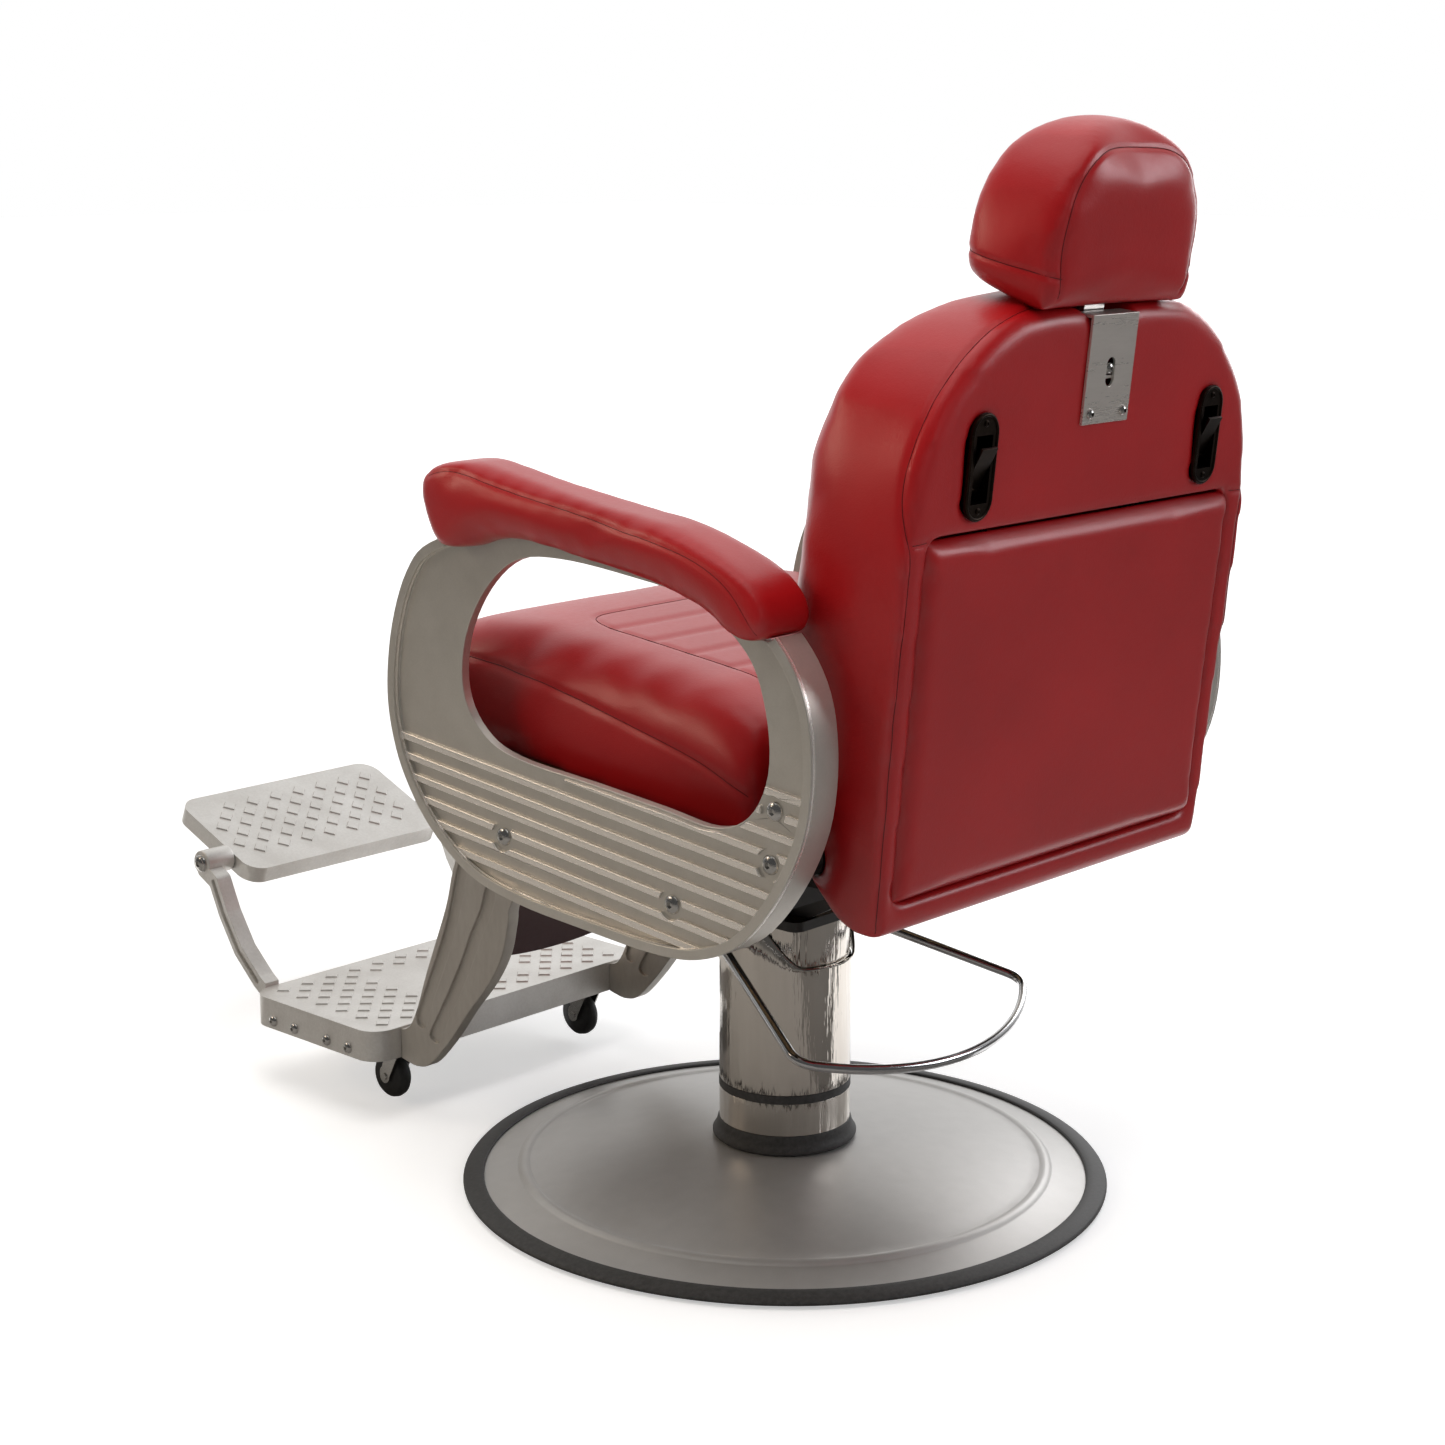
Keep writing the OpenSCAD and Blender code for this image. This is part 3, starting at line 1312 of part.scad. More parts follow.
module caster_fork() color([0.7, 0.7, 0.72]) {
    fork_in = wheel_w / 2 + 1.5;
    translate([caster_x, caster_y, fork_top]) {
        cylinder(h = foot_h - cast_t - 2, r = stem_r);
        translate([0, 0, -3]) cylinder(h = 3, r = 15);
    }
    difference() {
        for (s = [-1, 1])
            translate([caster_x + s * fork_in - (s < 0 ? 2.5 : 0), 0, 0])
                along_x(0, 2.5) difference() {
                    union() {
                        bar_2d([wheel_y, wheel_z], [wheel_y, wheel_z + 4], 16);
                        polygon([
                            [caster_y - 11, fork_top - 1], [caster_y + 11, fork_top - 1],
                            [wheel_y + 8, wheel_z], [wheel_y - 8, wheel_z]
                        ]);
                    }
                    translate([0, fork_top - 1]) square([300, 100]);
                }
    }
    translate([0, wheel_y, wheel_z])
        rod_x(caster_x - fork_in - 4, caster_x + fork_in + 4, axle_r);
}

module caster_fork_left() caster_fork();
module caster_fork_right() mirror([1, 0, 0]) caster_fork();

module caster_wheel() color([0.07, 0.07, 0.07])
    translate([caster_x, wheel_y, wheel_z]) rotate([0, 90, 0]) rotate_extrude($fn = 64)
        polygon([
            [axle_r + run_gap, -wheel_w / 2], [0.5 * wheel_r, -wheel_w / 2],
            [wheel_r - 4, -0.42 * wheel_w], [wheel_r - 1, -0.25 * wheel_w], [wheel_r, 0],
            [wheel_r - 1, 0.25 * wheel_w], [wheel_r - 4, 0.42 * wheel_w],
            [0.5 * wheel_r, wheel_w / 2], [axle_r + run_gap, wheel_w / 2]
        ]);

module caster_wheel_left() caster_wheel();
module caster_wheel_right() mirror([1, 0, 0]) caster_wheel();

// ---------- the chair ----------

base_disc();
base_trim();
base_ballast();
base_hub();
hub_bolts();
base_collar();
column_skirt();
column_ring();
inner_tube();
pump_cylinder();
cylinder_gland();
pump_ram();
ram_piston();
thrust_bearing();
swivel_socket();
head_tube();
column_sleeve();
column_cover();
seat_yoke();
socket_bolts();
seat_frame();
pump_block();
leg_shaft();
recline_brakes();
hinge_pins();
seat_board();
seat_cushion();
side_panel_left();
side_panel_right();
panel_screws();
arm_pad_left();
arm_pad_right();
pump_lever();
back_frame();
back_cushion();
back_upper_panel();
back_lower_panel();
headrest_guide();
headrest_bracket();
latch_bezels();
back_screws();
release_rods();
headrest_bar();
headrest_pad();
paddle_left();
paddle_right();
leg_left();
leg_right();
lower_footplate();
step_arm_left();
step_arm_right();
footrest_screws();
calf_board();
calf_pad();
upper_step();
caster_fork_left();
caster_fork_right();
caster_wheel_left();
caster_wheel_right();
link_rods();
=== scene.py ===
# %% [markdown]
# # A hydraulic barber chair
# A barber chair is three trades in one: a foundry casts the side panels and the footrest, a
# turner makes the column, and an upholsterer covers the foam. This lesson dresses the bare
# mechanical model of such a chair: each cell makes one piece or one finish.
# The loader brings in the mechanical solids, each set in the room on its own; the finished
# pieces are later hung on the bodies that move together.
# %% Load the mechanical model
import math

import bmesh
import bpy
import numpy as np
from mathutils import Matrix, Vector
from mathutils.bvhtree import BVHTree
from mathutils.kdtree import KDTree


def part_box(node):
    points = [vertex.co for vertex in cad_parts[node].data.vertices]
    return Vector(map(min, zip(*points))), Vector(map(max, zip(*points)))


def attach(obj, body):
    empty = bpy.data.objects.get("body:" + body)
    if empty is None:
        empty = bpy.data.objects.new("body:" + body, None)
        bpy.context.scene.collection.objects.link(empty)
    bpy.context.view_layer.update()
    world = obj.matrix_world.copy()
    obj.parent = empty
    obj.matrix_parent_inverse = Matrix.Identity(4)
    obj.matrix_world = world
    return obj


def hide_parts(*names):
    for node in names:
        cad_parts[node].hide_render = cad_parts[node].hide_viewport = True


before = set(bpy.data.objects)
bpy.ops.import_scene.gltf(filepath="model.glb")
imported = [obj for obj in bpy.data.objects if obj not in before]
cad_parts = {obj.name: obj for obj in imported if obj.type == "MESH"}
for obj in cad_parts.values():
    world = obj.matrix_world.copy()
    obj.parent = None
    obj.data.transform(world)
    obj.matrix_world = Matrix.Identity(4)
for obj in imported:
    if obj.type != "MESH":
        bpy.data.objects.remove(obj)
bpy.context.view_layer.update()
scene = bpy.context.scene
MM = 0.001

# %% [markdown]
# ## The camera
# The chair is seen from behind its left arm, a little from above, with a short telephoto lens,
# so the round base keeps its true ellipse and nothing near the lens swells.
# %% Place the camera
camera = bpy.data.objects.new("camera", bpy.data.cameras.new("camera"))
scene.collection.objects.link(camera)
scene.camera = camera
camera.data.lens = 66.44
camera.data.sensor_width = 36.0
camera.location = (2.0267, 1.7972, 1.0949)
camera.rotation_euler = Vector((-0.7145, -0.6657, -0.2151)).to_track_quat("-Z", "Y").to_euler()
print("camera", round(camera.location.length, 2), "m from the foot of the column")

# %% [markdown]
# ## Studio
# A white sweep of floor and a bright far wall, with the dim room behind the camera. Four lamps
# stand round the chair and show in its leather as soft highlights. Three broader ones brighten
# the same sides but are hidden from mirrors, so that they don't veil the red with white. Chrome
# shows whatever surrounds it, so the studio also has grey flags: without dark things to mirror,
# a polished tube looks like white plastic.
# %% Floor and world
def shader_tree(name):
    """A new material, its node tree and its main shader."""
    made = bpy.data.materials.new(name)
    made.use_nodes = True
    return made, made.node_tree, made.node_tree.nodes["Principled BSDF"]


def node(tree, kind, **inputs):
    """A node with its inputs set by name; an underscore stands for a space."""
    made = tree.nodes.new(kind)
    for key, value in inputs.items():
        made.inputs[key.replace("_", " ")].default_value = value
    return made


def paint(r, g, b):
    """A colour as a paint chart gives it, from 0 to 255, in the linear values shaders want."""
    values = [c / 255 for c in (r, g, b)]
    return [c / 12.92 if c <= 0.04045 else ((c + 0.055) / 1.055) ** 2.4 for c in values] + [1.0]


def white_ray(tree):
    """1 for the rays that show the background: the eye's, a mirror's and a glass's."""
    ray = node(tree, "ShaderNodeLightPath")
    total = ray.outputs["Is Camera Ray"]
    for kind in ("Is Glossy Ray", "Is Transmission Ray"):
        both = node(tree, "ShaderNodeMath")
        both.operation = "MAXIMUM"
        tree.links.new(total, both.inputs[0])
        tree.links.new(ray.outputs[kind], both.inputs[1])
        total = both.outputs[0]
    return total


def floor_finish():
    """White that stays white to the eye and to mirrors, yet still takes a shadow."""
    made, tree, shader = shader_tree("studio_white")
    shader.inputs["Base Color"].default_value = (0.8, 0.8, 0.8, 1)
    shader.inputs["Roughness"].default_value = 0.9
    away = node(tree, "ShaderNodeVectorMath")
    away.operation = "LENGTH"
    tree.links.new(tree.nodes.new("ShaderNodeTexCoord").outputs["Object"], away.inputs[0])
    share = node(tree, "ShaderNodeMapRange", From_Min=1.0, From_Max=4.0, To_Min=0.45, To_Max=1.0)
    tree.links.new(away.outputs["Value"], share.inputs["Value"])
    seen = node(tree, "ShaderNodeMath")
    seen.operation = "MULTIPLY"
    tree.links.new(white_ray(tree), seen.inputs[0])
    tree.links.new(share.outputs["Result"], seen.inputs[1])
    glow = node(tree, "ShaderNodeEmission", Color=(1, 1, 1, 1))
    tree.links.new(seen.outputs[0], glow.inputs["Strength"])
    both = node(tree, "ShaderNodeAddShader")
    tree.links.new(shader.outputs[0], both.inputs[0])
    tree.links.new(glow.outputs[0], both.inputs[1])
    tree.links.new(both.outputs[0], tree.nodes["Material Output"].inputs["Surface"])
    return made


floor_mesh = bpy.data.meshes.new("studio_floor")
floor_mesh.from_pydata([(-30, -30, 0), (30, -30, 0), (30, 30, 0), (-30, 30, 0)], [], [(0, 1, 2, 3)])
floor_mesh.materials.append(floor_finish())
floor = bpy.data.objects.new("studio_floor", floor_mesh)
scene.collection.objects.link(floor)

world = bpy.data.worlds.new("studio_air")
scene.world = world
world.use_nodes = True
air = world.node_tree
sky = air.nodes["Background"]
sky.inputs["Color"].default_value = (1, 1, 1, 1)
facing = node(air, "ShaderNodeVectorMath")
facing.operation = "DOT_PRODUCT"
facing.inputs[1].default_value = (-0.68, -0.62, 0.38)
air.links.new(air.nodes.new("ShaderNodeTexCoord").outputs["Generated"], facing.inputs[0])
wall = node(air, "ShaderNodeMapRange", From_Min=0.35, From_Max=0.92, To_Min=0.08, To_Max=1.0)
air.links.new(facing.outputs["Value"], wall.inputs["Value"])
eye = node(air, "ShaderNodeLightPath")
level = node(air, "ShaderNodeMath")
level.operation = "MAXIMUM"
air.links.new(wall.outputs["Result"], level.inputs[0])
air.links.new(eye.outputs["Is Camera Ray"], level.inputs[1])
air.links.new(level.outputs[0], sky.inputs["Strength"])
scene.view_settings.view_transform = "Standard"
print("floor and air are white")

# %% [markdown]
# A picture of a room could light the chair, but area lamps are easier to aim: the size of each one
# sets how soft its shadow and how broad its highlight is. The flags are cards that only mirrors
# see. Two wide ones darken the floor that the chrome reflects, and three narrow strips towards the
# camera draw the dark stripes by which the eye knows a round tube.
# %% Lamps and flags
def lamp(name, place, aim, size, power, tint):
    """A square soft lamp that looks at a point."""
    data = bpy.data.lights.new(name, "AREA")
    data.shape = "SQUARE"
    data.size = size
    data.energy = power
    data.color = tint
    made = bpy.data.objects.new(name, data)
    scene.collection.objects.link(made)
    made.location = place
    made.rotation_euler = (Vector(aim) - Vector(place)).to_track_quat("-Z", "Y").to_euler()
    return made


lamp("top_lamp", (0.5, 0.2, 2.9), (0, 0, 0.4), 1.9, 9, (1.0, 0.985, 0.96))
lamp("left_lamp", (1.9, -2.1, 2.0), (0.2, 0, 0.6), 0.9, 9, (1.0, 0.82, 0.64))
lamp("right_lamp", (-2.3, -0.3, 1.3), (0, 0.1, 0.2), 1.1, 12, (0.98, 0.98, 1.0))
lamp("window_lamp", (-2.1, 2.3, 1.85), (0, 0.3, 0.9), 1.3, 25, (0.94, 0.95, 1.0))
# these three brighten without a reflection of their own
fills = [lamp("top_fill", (0.5, 0.2, 2.9), (0, 0, 0.4), 1.9, 43, (1.0, 0.985, 0.96)),
         lamp("left_fill", (2.6, -1.0, 1.6), (0, 0, 0.6), 1.0, 16, (1.0, 0.86, 0.70)),
         lamp("rear_fill", (0.9, 3.0, 1.7), (0, 0.3, 0.5), 1.4, 15, (0.98, 0.97, 1.0))]
for soft_lamp in fills:
    soft_lamp.visible_glossy = False


def flag(name, corners, grey):
    """A card that only mirrors see, from its corners."""
    mesh = bpy.data.meshes.new(name)
    mesh.from_pydata(corners, [], [tuple(range(len(corners)))])
    made, tree, shader = shader_tree(name + "_cloth")
    shader.inputs["Base Color"].default_value = (grey, grey * 0.97, grey * 0.93, 1)
    shader.inputs["Roughness"].default_value = 1.0
    mesh.materials.append(made)
    card = bpy.data.objects.new(name, mesh)
    scene.collection.objects.link(card)
    card.visible_camera = False
    card.visible_diffuse = False
    card.visible_shadow = False


ahead, across = Vector((-0.732, -0.682, 0)), Vector((-0.682, 0.732, 0))


def on_floor(forward, side, up=0.0):
    """A point of the studio, in metres ahead of the camera and across to its right."""
    return ahead * forward + across * side + Vector((0, 0, up))


# outlines of two wide cards on the floor, either side of the chair, ahead and across in metres
left_half = [(0.45, -1.3), (3, -3), (14, -28), (-28, -28), (-28, 0.3), (-0.05, 0.3), (0.45, 0.1)]
right_half = [(-0.05, 0.3), (-28, 0.3), (-28, 28), (20, 28), (2.6, 2.1), (0.3, 0.95),
              (-0.05, 0.8)]
for name, half, grey in (("wide_left", left_half, 0.29), ("wide_right", right_half, 0.15)):
    flag("flag_" + name, [on_floor(forward, side, 0.004) for forward, side in half], grey)
for name, side in (("flag_left", -1.9), ("flag_right", 1.35), ("flag_middle", 0.25)):
    flag(name, [on_floor(-0.9, side, 0.006), on_floor(-4.5, side * 2.2, 0.006),
                on_floor(-4.5, side * 2.2 + 0.9, 0.006), on_floor(-0.9, side + 0.22, 0.006)], 0.08)
print("7 lamps and 5 flags")

# %% [markdown]
# ## Finishes
# Leather first. It is dyed through, so its tone drifts a little over a hand's width, and its
# grain is a net of tiny cells about a millimetre across: Voronoi cells make that net, a finer
# noise breaks it up, and both only tilt the light. A thin coat gives the waxy highlight.
# %% Leather
def object_place(tree):
    """The place of a point on the chair, which a pattern is drawn in."""
    return tree.nodes.new("ShaderNodeTexCoord").outputs["Object"]


def ramp(tree, source, *stops):
    """A colour ramp over a 0 to 1 value; stops are (place, colour)."""
    made = tree.nodes.new("ShaderNodeValToRGB")
    while len(made.color_ramp.elements) < len(stops):
        made.color_ramp.elements.new(0.5)
    for element, (place, colour) in zip(made.color_ramp.elements, stops):
        element.position = place
        element.color = colour
    tree.links.new(source, made.inputs["Fac"])
    return made.outputs["Color"]


def bump(tree, shader, height, strength, distance, under=None):
    """Tilts the light as a relief of that depth would."""
    made = node(tree, "ShaderNodeBump", Strength=strength, Distance=distance)
    tree.links.new(height, made.inputs["Height"])
    if under is not None:
        tree.links.new(under, made.inputs["Normal"])
    tree.links.new(made.outputs["Normal"], shader.inputs["Normal"])
    return made.outputs["Normal"]


def leather(name, light, deep, roughness, coat):
    """Leather between two tones; coat is how much of the waxy layer it has."""
    made, tree, shader = shader_tree(name)
    place = object_place(tree)
    drift = node(tree, "ShaderNodeTexNoise", Scale=5.0, Detail=4.0, Roughness=0.55)
    cells = node(tree, "ShaderNodeTexVoronoi", Scale=620.0)
    creases = node(tree, "ShaderNodeTexNoise", Scale=160.0, Detail=6.0, Roughness=0.6)
    for texture in (drift, cells, creases):
        tree.links.new(place, texture.inputs["Vector"])
    tone = ramp(tree, drift.outputs["Fac"], (0.3, deep), (0.7, light))
    tree.links.new(tone, shader.inputs["Base Color"])
    shine = node(tree, "ShaderNodeMapRange", To_Min=roughness - 0.05, To_Max=roughness + 0.07)
    tree.links.new(creases.outputs["Fac"], shine.inputs["Value"])
    tree.links.new(shine.outputs["Result"], shader.inputs["Roughness"])
    under = bump(tree, shader, creases.outputs["Fac"], 0.25, 0.0006)
    bump(tree, shader, cells.outputs["Distance"], 0.22, 0.0003, under)
    shader.inputs["Coat Weight"].default_value = coat
    shader.inputs["Coat Roughness"].default_value = 0.32
    shader.inputs["Specular IOR Level"].default_value = 0.6
    return made


red_leather = leather("red_leather", paint(164, 13, 18), paint(149, 9, 14), 0.36, 0.25)
# the seam cords' dark leather is painted shade, darkening the creases of the seams
seam_shade_leather = leather("seam_shadow", paint(86, 8, 12), paint(66, 6, 9), 0.7, 0.0)
calf_backing = leather("maroon_backing", paint(74, 30, 32), paint(58, 22, 25), 0.55, 0.0)
print("leather, seam and backing")

# %% [markdown]
# Metals next. Cast aluminium is a grey skin with a fine sand texture from the mould and a soft
# satin from tumbling. Brushed metal is the same, with noise stretched along the brush's way.
# Polished chrome is almost a mirror; the streaks come from buffing up and down the tube.
# %% Metals
def times(tree, value, factor):
    """A value in a tree multiplied by a number."""
    made = node(tree, "ShaderNodeMath")
    made.operation = "MULTIPLY"
    made.inputs[1].default_value = factor
    tree.links.new(value, made.inputs[0])
    return made.outputs[0]


def metal(name, light, dark, roughness, spread, stretch, scale, relief, depth, metallic=1.0):
    """Metal whose tone, gloss and relief follow one stretched noise."""
    made, tree, shader = shader_tree(name)
    mapping = node(tree, "ShaderNodeMapping", Scale=stretch)
    tree.links.new(object_place(tree), mapping.inputs["Vector"])
    fine = node(tree, "ShaderNodeTexNoise", Scale=scale, Detail=5.0, Roughness=0.6)
    slow = node(tree, "ShaderNodeTexNoise", Scale=scale / 14, Detail=3.0)
    for texture in (fine, slow):
        tree.links.new(mapping.outputs["Vector"], texture.inputs["Vector"])
    mix = node(tree, "ShaderNodeMath")
    mix.operation = "MULTIPLY_ADD"
    mix.inputs[1].default_value = 0.4
    tree.links.new(fine.outputs["Fac"], mix.inputs[0])
    tree.links.new(times(tree, slow.outputs["Fac"], 0.6), mix.inputs[2])
    tone = ramp(tree, mix.outputs[0], (0.35, dark), (0.65, light))
    tree.links.new(tone, shader.inputs["Base Color"])
    gloss = node(tree, "ShaderNodeMapRange", To_Min=roughness - spread, To_Max=roughness + spread)
    tree.links.new(mix.outputs[0], gloss.inputs["Value"])
    tree.links.new(gloss.outputs["Result"], shader.inputs["Roughness"])
    bump(tree, shader, fine.outputs["Fac"], relief, depth)
    shader.inputs["Metallic"].default_value = metallic
    return made


cast = metal("cast_aluminium", paint(214, 209, 200), paint(205, 200, 191), 0.34, 0.04,
             (1, 1, 1), 420.0, 0.30, 0.0004, metallic=0.75)
foot_cast = metal("foot_aluminium", paint(226, 224, 220), paint(208, 205, 200), 0.42, 0.06,
                  (1, 1, 1), 300.0, 0.30, 0.0004, metallic=0.72)
leg_cast = metal("leg_aluminium", paint(200, 195, 187), paint(184, 178, 170), 0.42, 0.06,
                 (1, 1, 0.35), 180.0, 0.35, 0.0005, metallic=0.78)
chrome = metal("polished_chrome", paint(238, 232, 224), paint(212, 205, 196), 0.06, 0.03,
               (1, 1, 0.09), 34.0, 0.6, 0.006)
rod_chrome = metal("lever_chrome", paint(226, 226, 227), paint(205, 205, 206), 0.14, 0.03,
                   (1, 1, 1), 300.0, 0.03, 0.0002)
disc_steel = metal("spun_steel", paint(192, 190, 187), paint(186, 184, 181), 0.42, 0.03,
                   (1, 1, 1), 700.0, 0.10, 0.0002, metallic=0.55)
plate_steel = metal("brushed_plate", paint(224, 217, 209), paint(214, 207, 199), 0.28, 0.04,
                    (0.1, 1, 1), 500.0, 0.04, 0.0001, metallic=0.7)
bolt_steel = metal("plated_screws", paint(222, 220, 217), paint(196, 194, 190), 0.20, 0.05,
                   (1, 1, 1), 300.0, 0.05, 0.0002)
bronze = metal("dark_bronze", paint(62, 50, 42), paint(34, 27, 23), 0.38, 0.08,
               (1, 1, 1), 260.0, 0.15, 0.0003)
brass = metal("gland_brass", paint(176, 150, 92), paint(150, 124, 70), 0.35, 0.05,
              (1, 1, 1), 300.0, 0.05, 0.0002)
print("10 metals")

# %% [markdown]
# The rib tops get a painted highlight: a tone paler than the skin between them, with a smoother
# gloss. A second material on chosen faces could do that, with a hard edge. Here the casting's own
# shader looks at how far a point stands from the chair's middle plane, and turns paler and
# smoother where the rib tops are.
# %% Paint a highlight on the rib tops of the side panels
def paint_rib_highlight(made, low, high, tone, roughness):
    """Paints a paler, smoother highlight between two distances from the chair's middle plane."""
    tree = made.node_tree
    shader = tree.nodes["Principled BSDF"]
    apart = node(tree, "ShaderNodeSeparateXYZ")
    tree.links.new(object_place(tree), apart.inputs[0])
    away = node(tree, "ShaderNodeMath")
    away.operation = "ABSOLUTE"
    tree.links.new(apart.outputs["X"], away.inputs[0])
    span = high - low
    proud = node(tree, "ShaderNodeMapRange", From_Min=low - span, From_Max=high + span)
    tree.links.new(away.outputs[0], proud.inputs["Value"])
    share = ramp(tree, proud.outputs["Result"], (0.30, (0, 0, 0, 1)), (0.42, (1, 1, 1, 1)),
                 (0.58, (1, 1, 1, 1)), (0.70, (0, 0, 0, 1)))
    colour = node(tree, "ShaderNodeMix")
    colour.data_type = "RGBA"
    tree.links.new(shader.inputs["Base Color"].links[0].from_socket, colour.inputs[6])
    colour.inputs[7].default_value = tone
    gloss = node(tree, "ShaderNodeMix")
    tree.links.new(shader.inputs["Roughness"].links[0].from_socket, gloss.inputs[2])
    gloss.inputs[3].default_value = roughness
    for mix in (colour, gloss):
        tree.links.new(share, mix.inputs[0])
    tree.links.new(colour.outputs[2], shader.inputs["Base Color"])
    tree.links.new(gloss.outputs[0], shader.inputs["Roughness"])


# the rib tops are 321 mm off the middle plane, 4 mm proud of the panel's face
# painted highlight: the rib tops get a paler tone than the face, and a smoother gloss
paint_rib_highlight(cast, low=0.3195, high=0.3225, tone=paint(250, 244, 236), roughness=0.24)
print("rib tops rubbed bright")

# %% [markdown]
# The last finishes are dull: moulded rubber, black paint, iron and plywood. Even a black surface
# has a tone that drifts and a skin that scatters light unevenly, so none is one flat colour.
# %% Rubber, paint, iron and wood
def dull(name, light, dark, roughness, scale, relief, depth, stretch=(1, 1, 1), metallic=0.0):
    """A dull finish whose tone, gloss and relief follow one noise."""
    made, tree, shader = shader_tree(name)
    mapping = node(tree, "ShaderNodeMapping", Scale=stretch)
    tree.links.new(object_place(tree), mapping.inputs["Vector"])
    skin_noise = node(tree, "ShaderNodeTexNoise", Scale=scale, Detail=6.0, Roughness=0.62)
    tree.links.new(mapping.outputs["Vector"], skin_noise.inputs["Vector"])
    tone = ramp(tree, skin_noise.outputs["Fac"], (0.3, dark), (0.7, light))
    tree.links.new(tone, shader.inputs["Base Color"])
    gloss = node(tree, "ShaderNodeMapRange", To_Min=roughness - 0.08, To_Max=roughness + 0.08)
    tree.links.new(skin_noise.outputs["Fac"], gloss.inputs["Value"])
    tree.links.new(gloss.outputs["Result"], shader.inputs["Roughness"])
    bump(tree, shader, skin_noise.outputs["Fac"], relief, depth)
    shader.inputs["Metallic"].default_value = metallic
    return made


rubber = dull("edge_rubber", paint(66, 65, 64), paint(44, 43, 42), 0.58, 220.0, 0.3, 0.0004)
tyre = dull("tyre_rubber", paint(34, 34, 34), paint(20, 20, 20), 0.42, 200.0, 0.2, 0.0003)
black_paint = dull("black_paint", paint(42, 38, 35), paint(26, 23, 21), 0.45, 90.0, 0.2, 0.0003)
iron = dull("cast_iron", paint(70, 70, 72), paint(48, 48, 50), 0.6, 160.0, 0.4, 0.0005,
            metallic=0.7)
plywood = dull("plywood", paint(176, 146, 104), paint(146, 114, 76), 0.6, 60.0, 0.2, 0.0003,
               stretch=(1, 0.12, 3))
print("5 dull finishes")

# %% [markdown]
# ## Hidden works
# The ram, the bearings, the seat frame and the hinges are right as the mechanical model has them.
# They only need their metal, so their own solids are kept.
# %% Give the works their metal
def coat(material, *names):
    """Paints solids that stay as they are."""
    for name in names:
        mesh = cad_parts[name].data
        mesh.materials.clear()
        mesh.materials.append(material)


coat(iron, "base_ballast", "base_hub", "swivel_socket", "pump_cylinder", "ram_piston")
coat(bolt_steel, "hub_bolts", "socket_bolts", "leg_shaft", "hinge_pins", "thrust_bearing",
     "release_rods", "pump_ram")
coat(chrome, "inner_tube", "head_tube")
coat(brass, "cylinder_gland")
coat(black_paint, "seat_yoke", "pump_block", "seat_frame", "recline_brakes", "back_frame",
     "headrest_guide", "link_rods")
coat(plywood, "seat_board")
print("works painted")

# %% [markdown]
# ## Machined and cast pieces
# Nothing real has a razor edge. A casting keeps the radius of its mould and a turned tube keeps
# the tool's. So each hard piece is a welded copy of its solid with its flat triangles joined back
# into faces, and a live Bevel modifier rounds every edge sharper than a set angle.
# %% Round the edges of a hard piece
def welded(*names, flat=0.6, cut=False):
    """One clean mesh copied from solids, flat areas joined into single faces or cut anew."""
    bm = bmesh.new()
    for name in names:
        bm.from_mesh(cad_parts[name].data)
    bmesh.ops.remove_doubles(bm, verts=bm.verts, dist=0.00002)
    if flat:
        bmesh.ops.dissolve_limit(bm, angle_limit=math.radians(flat), verts=bm.verts,
                                 edges=bm.edges)
    if cut:
        bmesh.ops.triangulate(bm, faces=bm.faces, quad_method="BEAUTY", ngon_method="BEAUTY")
    mesh = bpy.data.meshes.new(names[0])
    bm.to_mesh(mesh)
    bm.free()
    return mesh


def add_piece(name, mesh, body, material, slot, *stands_for):
    """Puts a finished mesh in the scene, on its body, in place of the named solids."""
    mesh.materials.clear()
    mesh.materials.append(material)
    piece = bpy.data.objects.new(name, mesh)
    scene.collection.objects.link(piece)
    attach(piece, body)
    if stands_for:
        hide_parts(*stands_for)
    return piece


def rounded(name, body, material, slot, width, names=None, segments=2, angle=32, flat=0.6,
            even_width=False):
    """A hard piece with rounded edges in place of its solids."""
    names = names or [name]
    mesh = welded(*names, flat=flat, cut=even_width)
    for polygon in mesh.polygons:
        polygon.use_smooth = True
    piece = add_piece(name + "_finished", mesh, body, material, slot, *names)
    edge = piece.modifiers.new("edge", "BEVEL")
    edge.width = width * MM
    edge.segments = segments
    edge.limit_method = "ANGLE"
    edge.angle_limit = math.radians(angle)
    edge.use_clamp_overlap = not even_width
    edge.harden_normals = False
    even = piece.modifiers.new("even", "WEIGHTED_NORMAL")
    even.keep_sharp = True
    return piece


rounded("base_disc", "base", disc_steel, "base_steel", 0.4, flat=0, angle=50)
rounded("base_trim", "base", rubber, "edge_rubber", 1.2, flat=0, angle=40)
rounded("base_collar", "base", rubber, "edge_rubber", 0.8, flat=0, angle=40)
rounded("column_skirt", "base", chrome, "chrome_tube", 0.4, flat=0, angle=60)
rounded("column_ring", "base", rubber, "edge_rubber", 0.6, flat=0, angle=60)
rounded("column_sleeve", "swivel", chrome, "chrome_tube", 0.4, flat=0, angle=60)
print("base and column rounded")

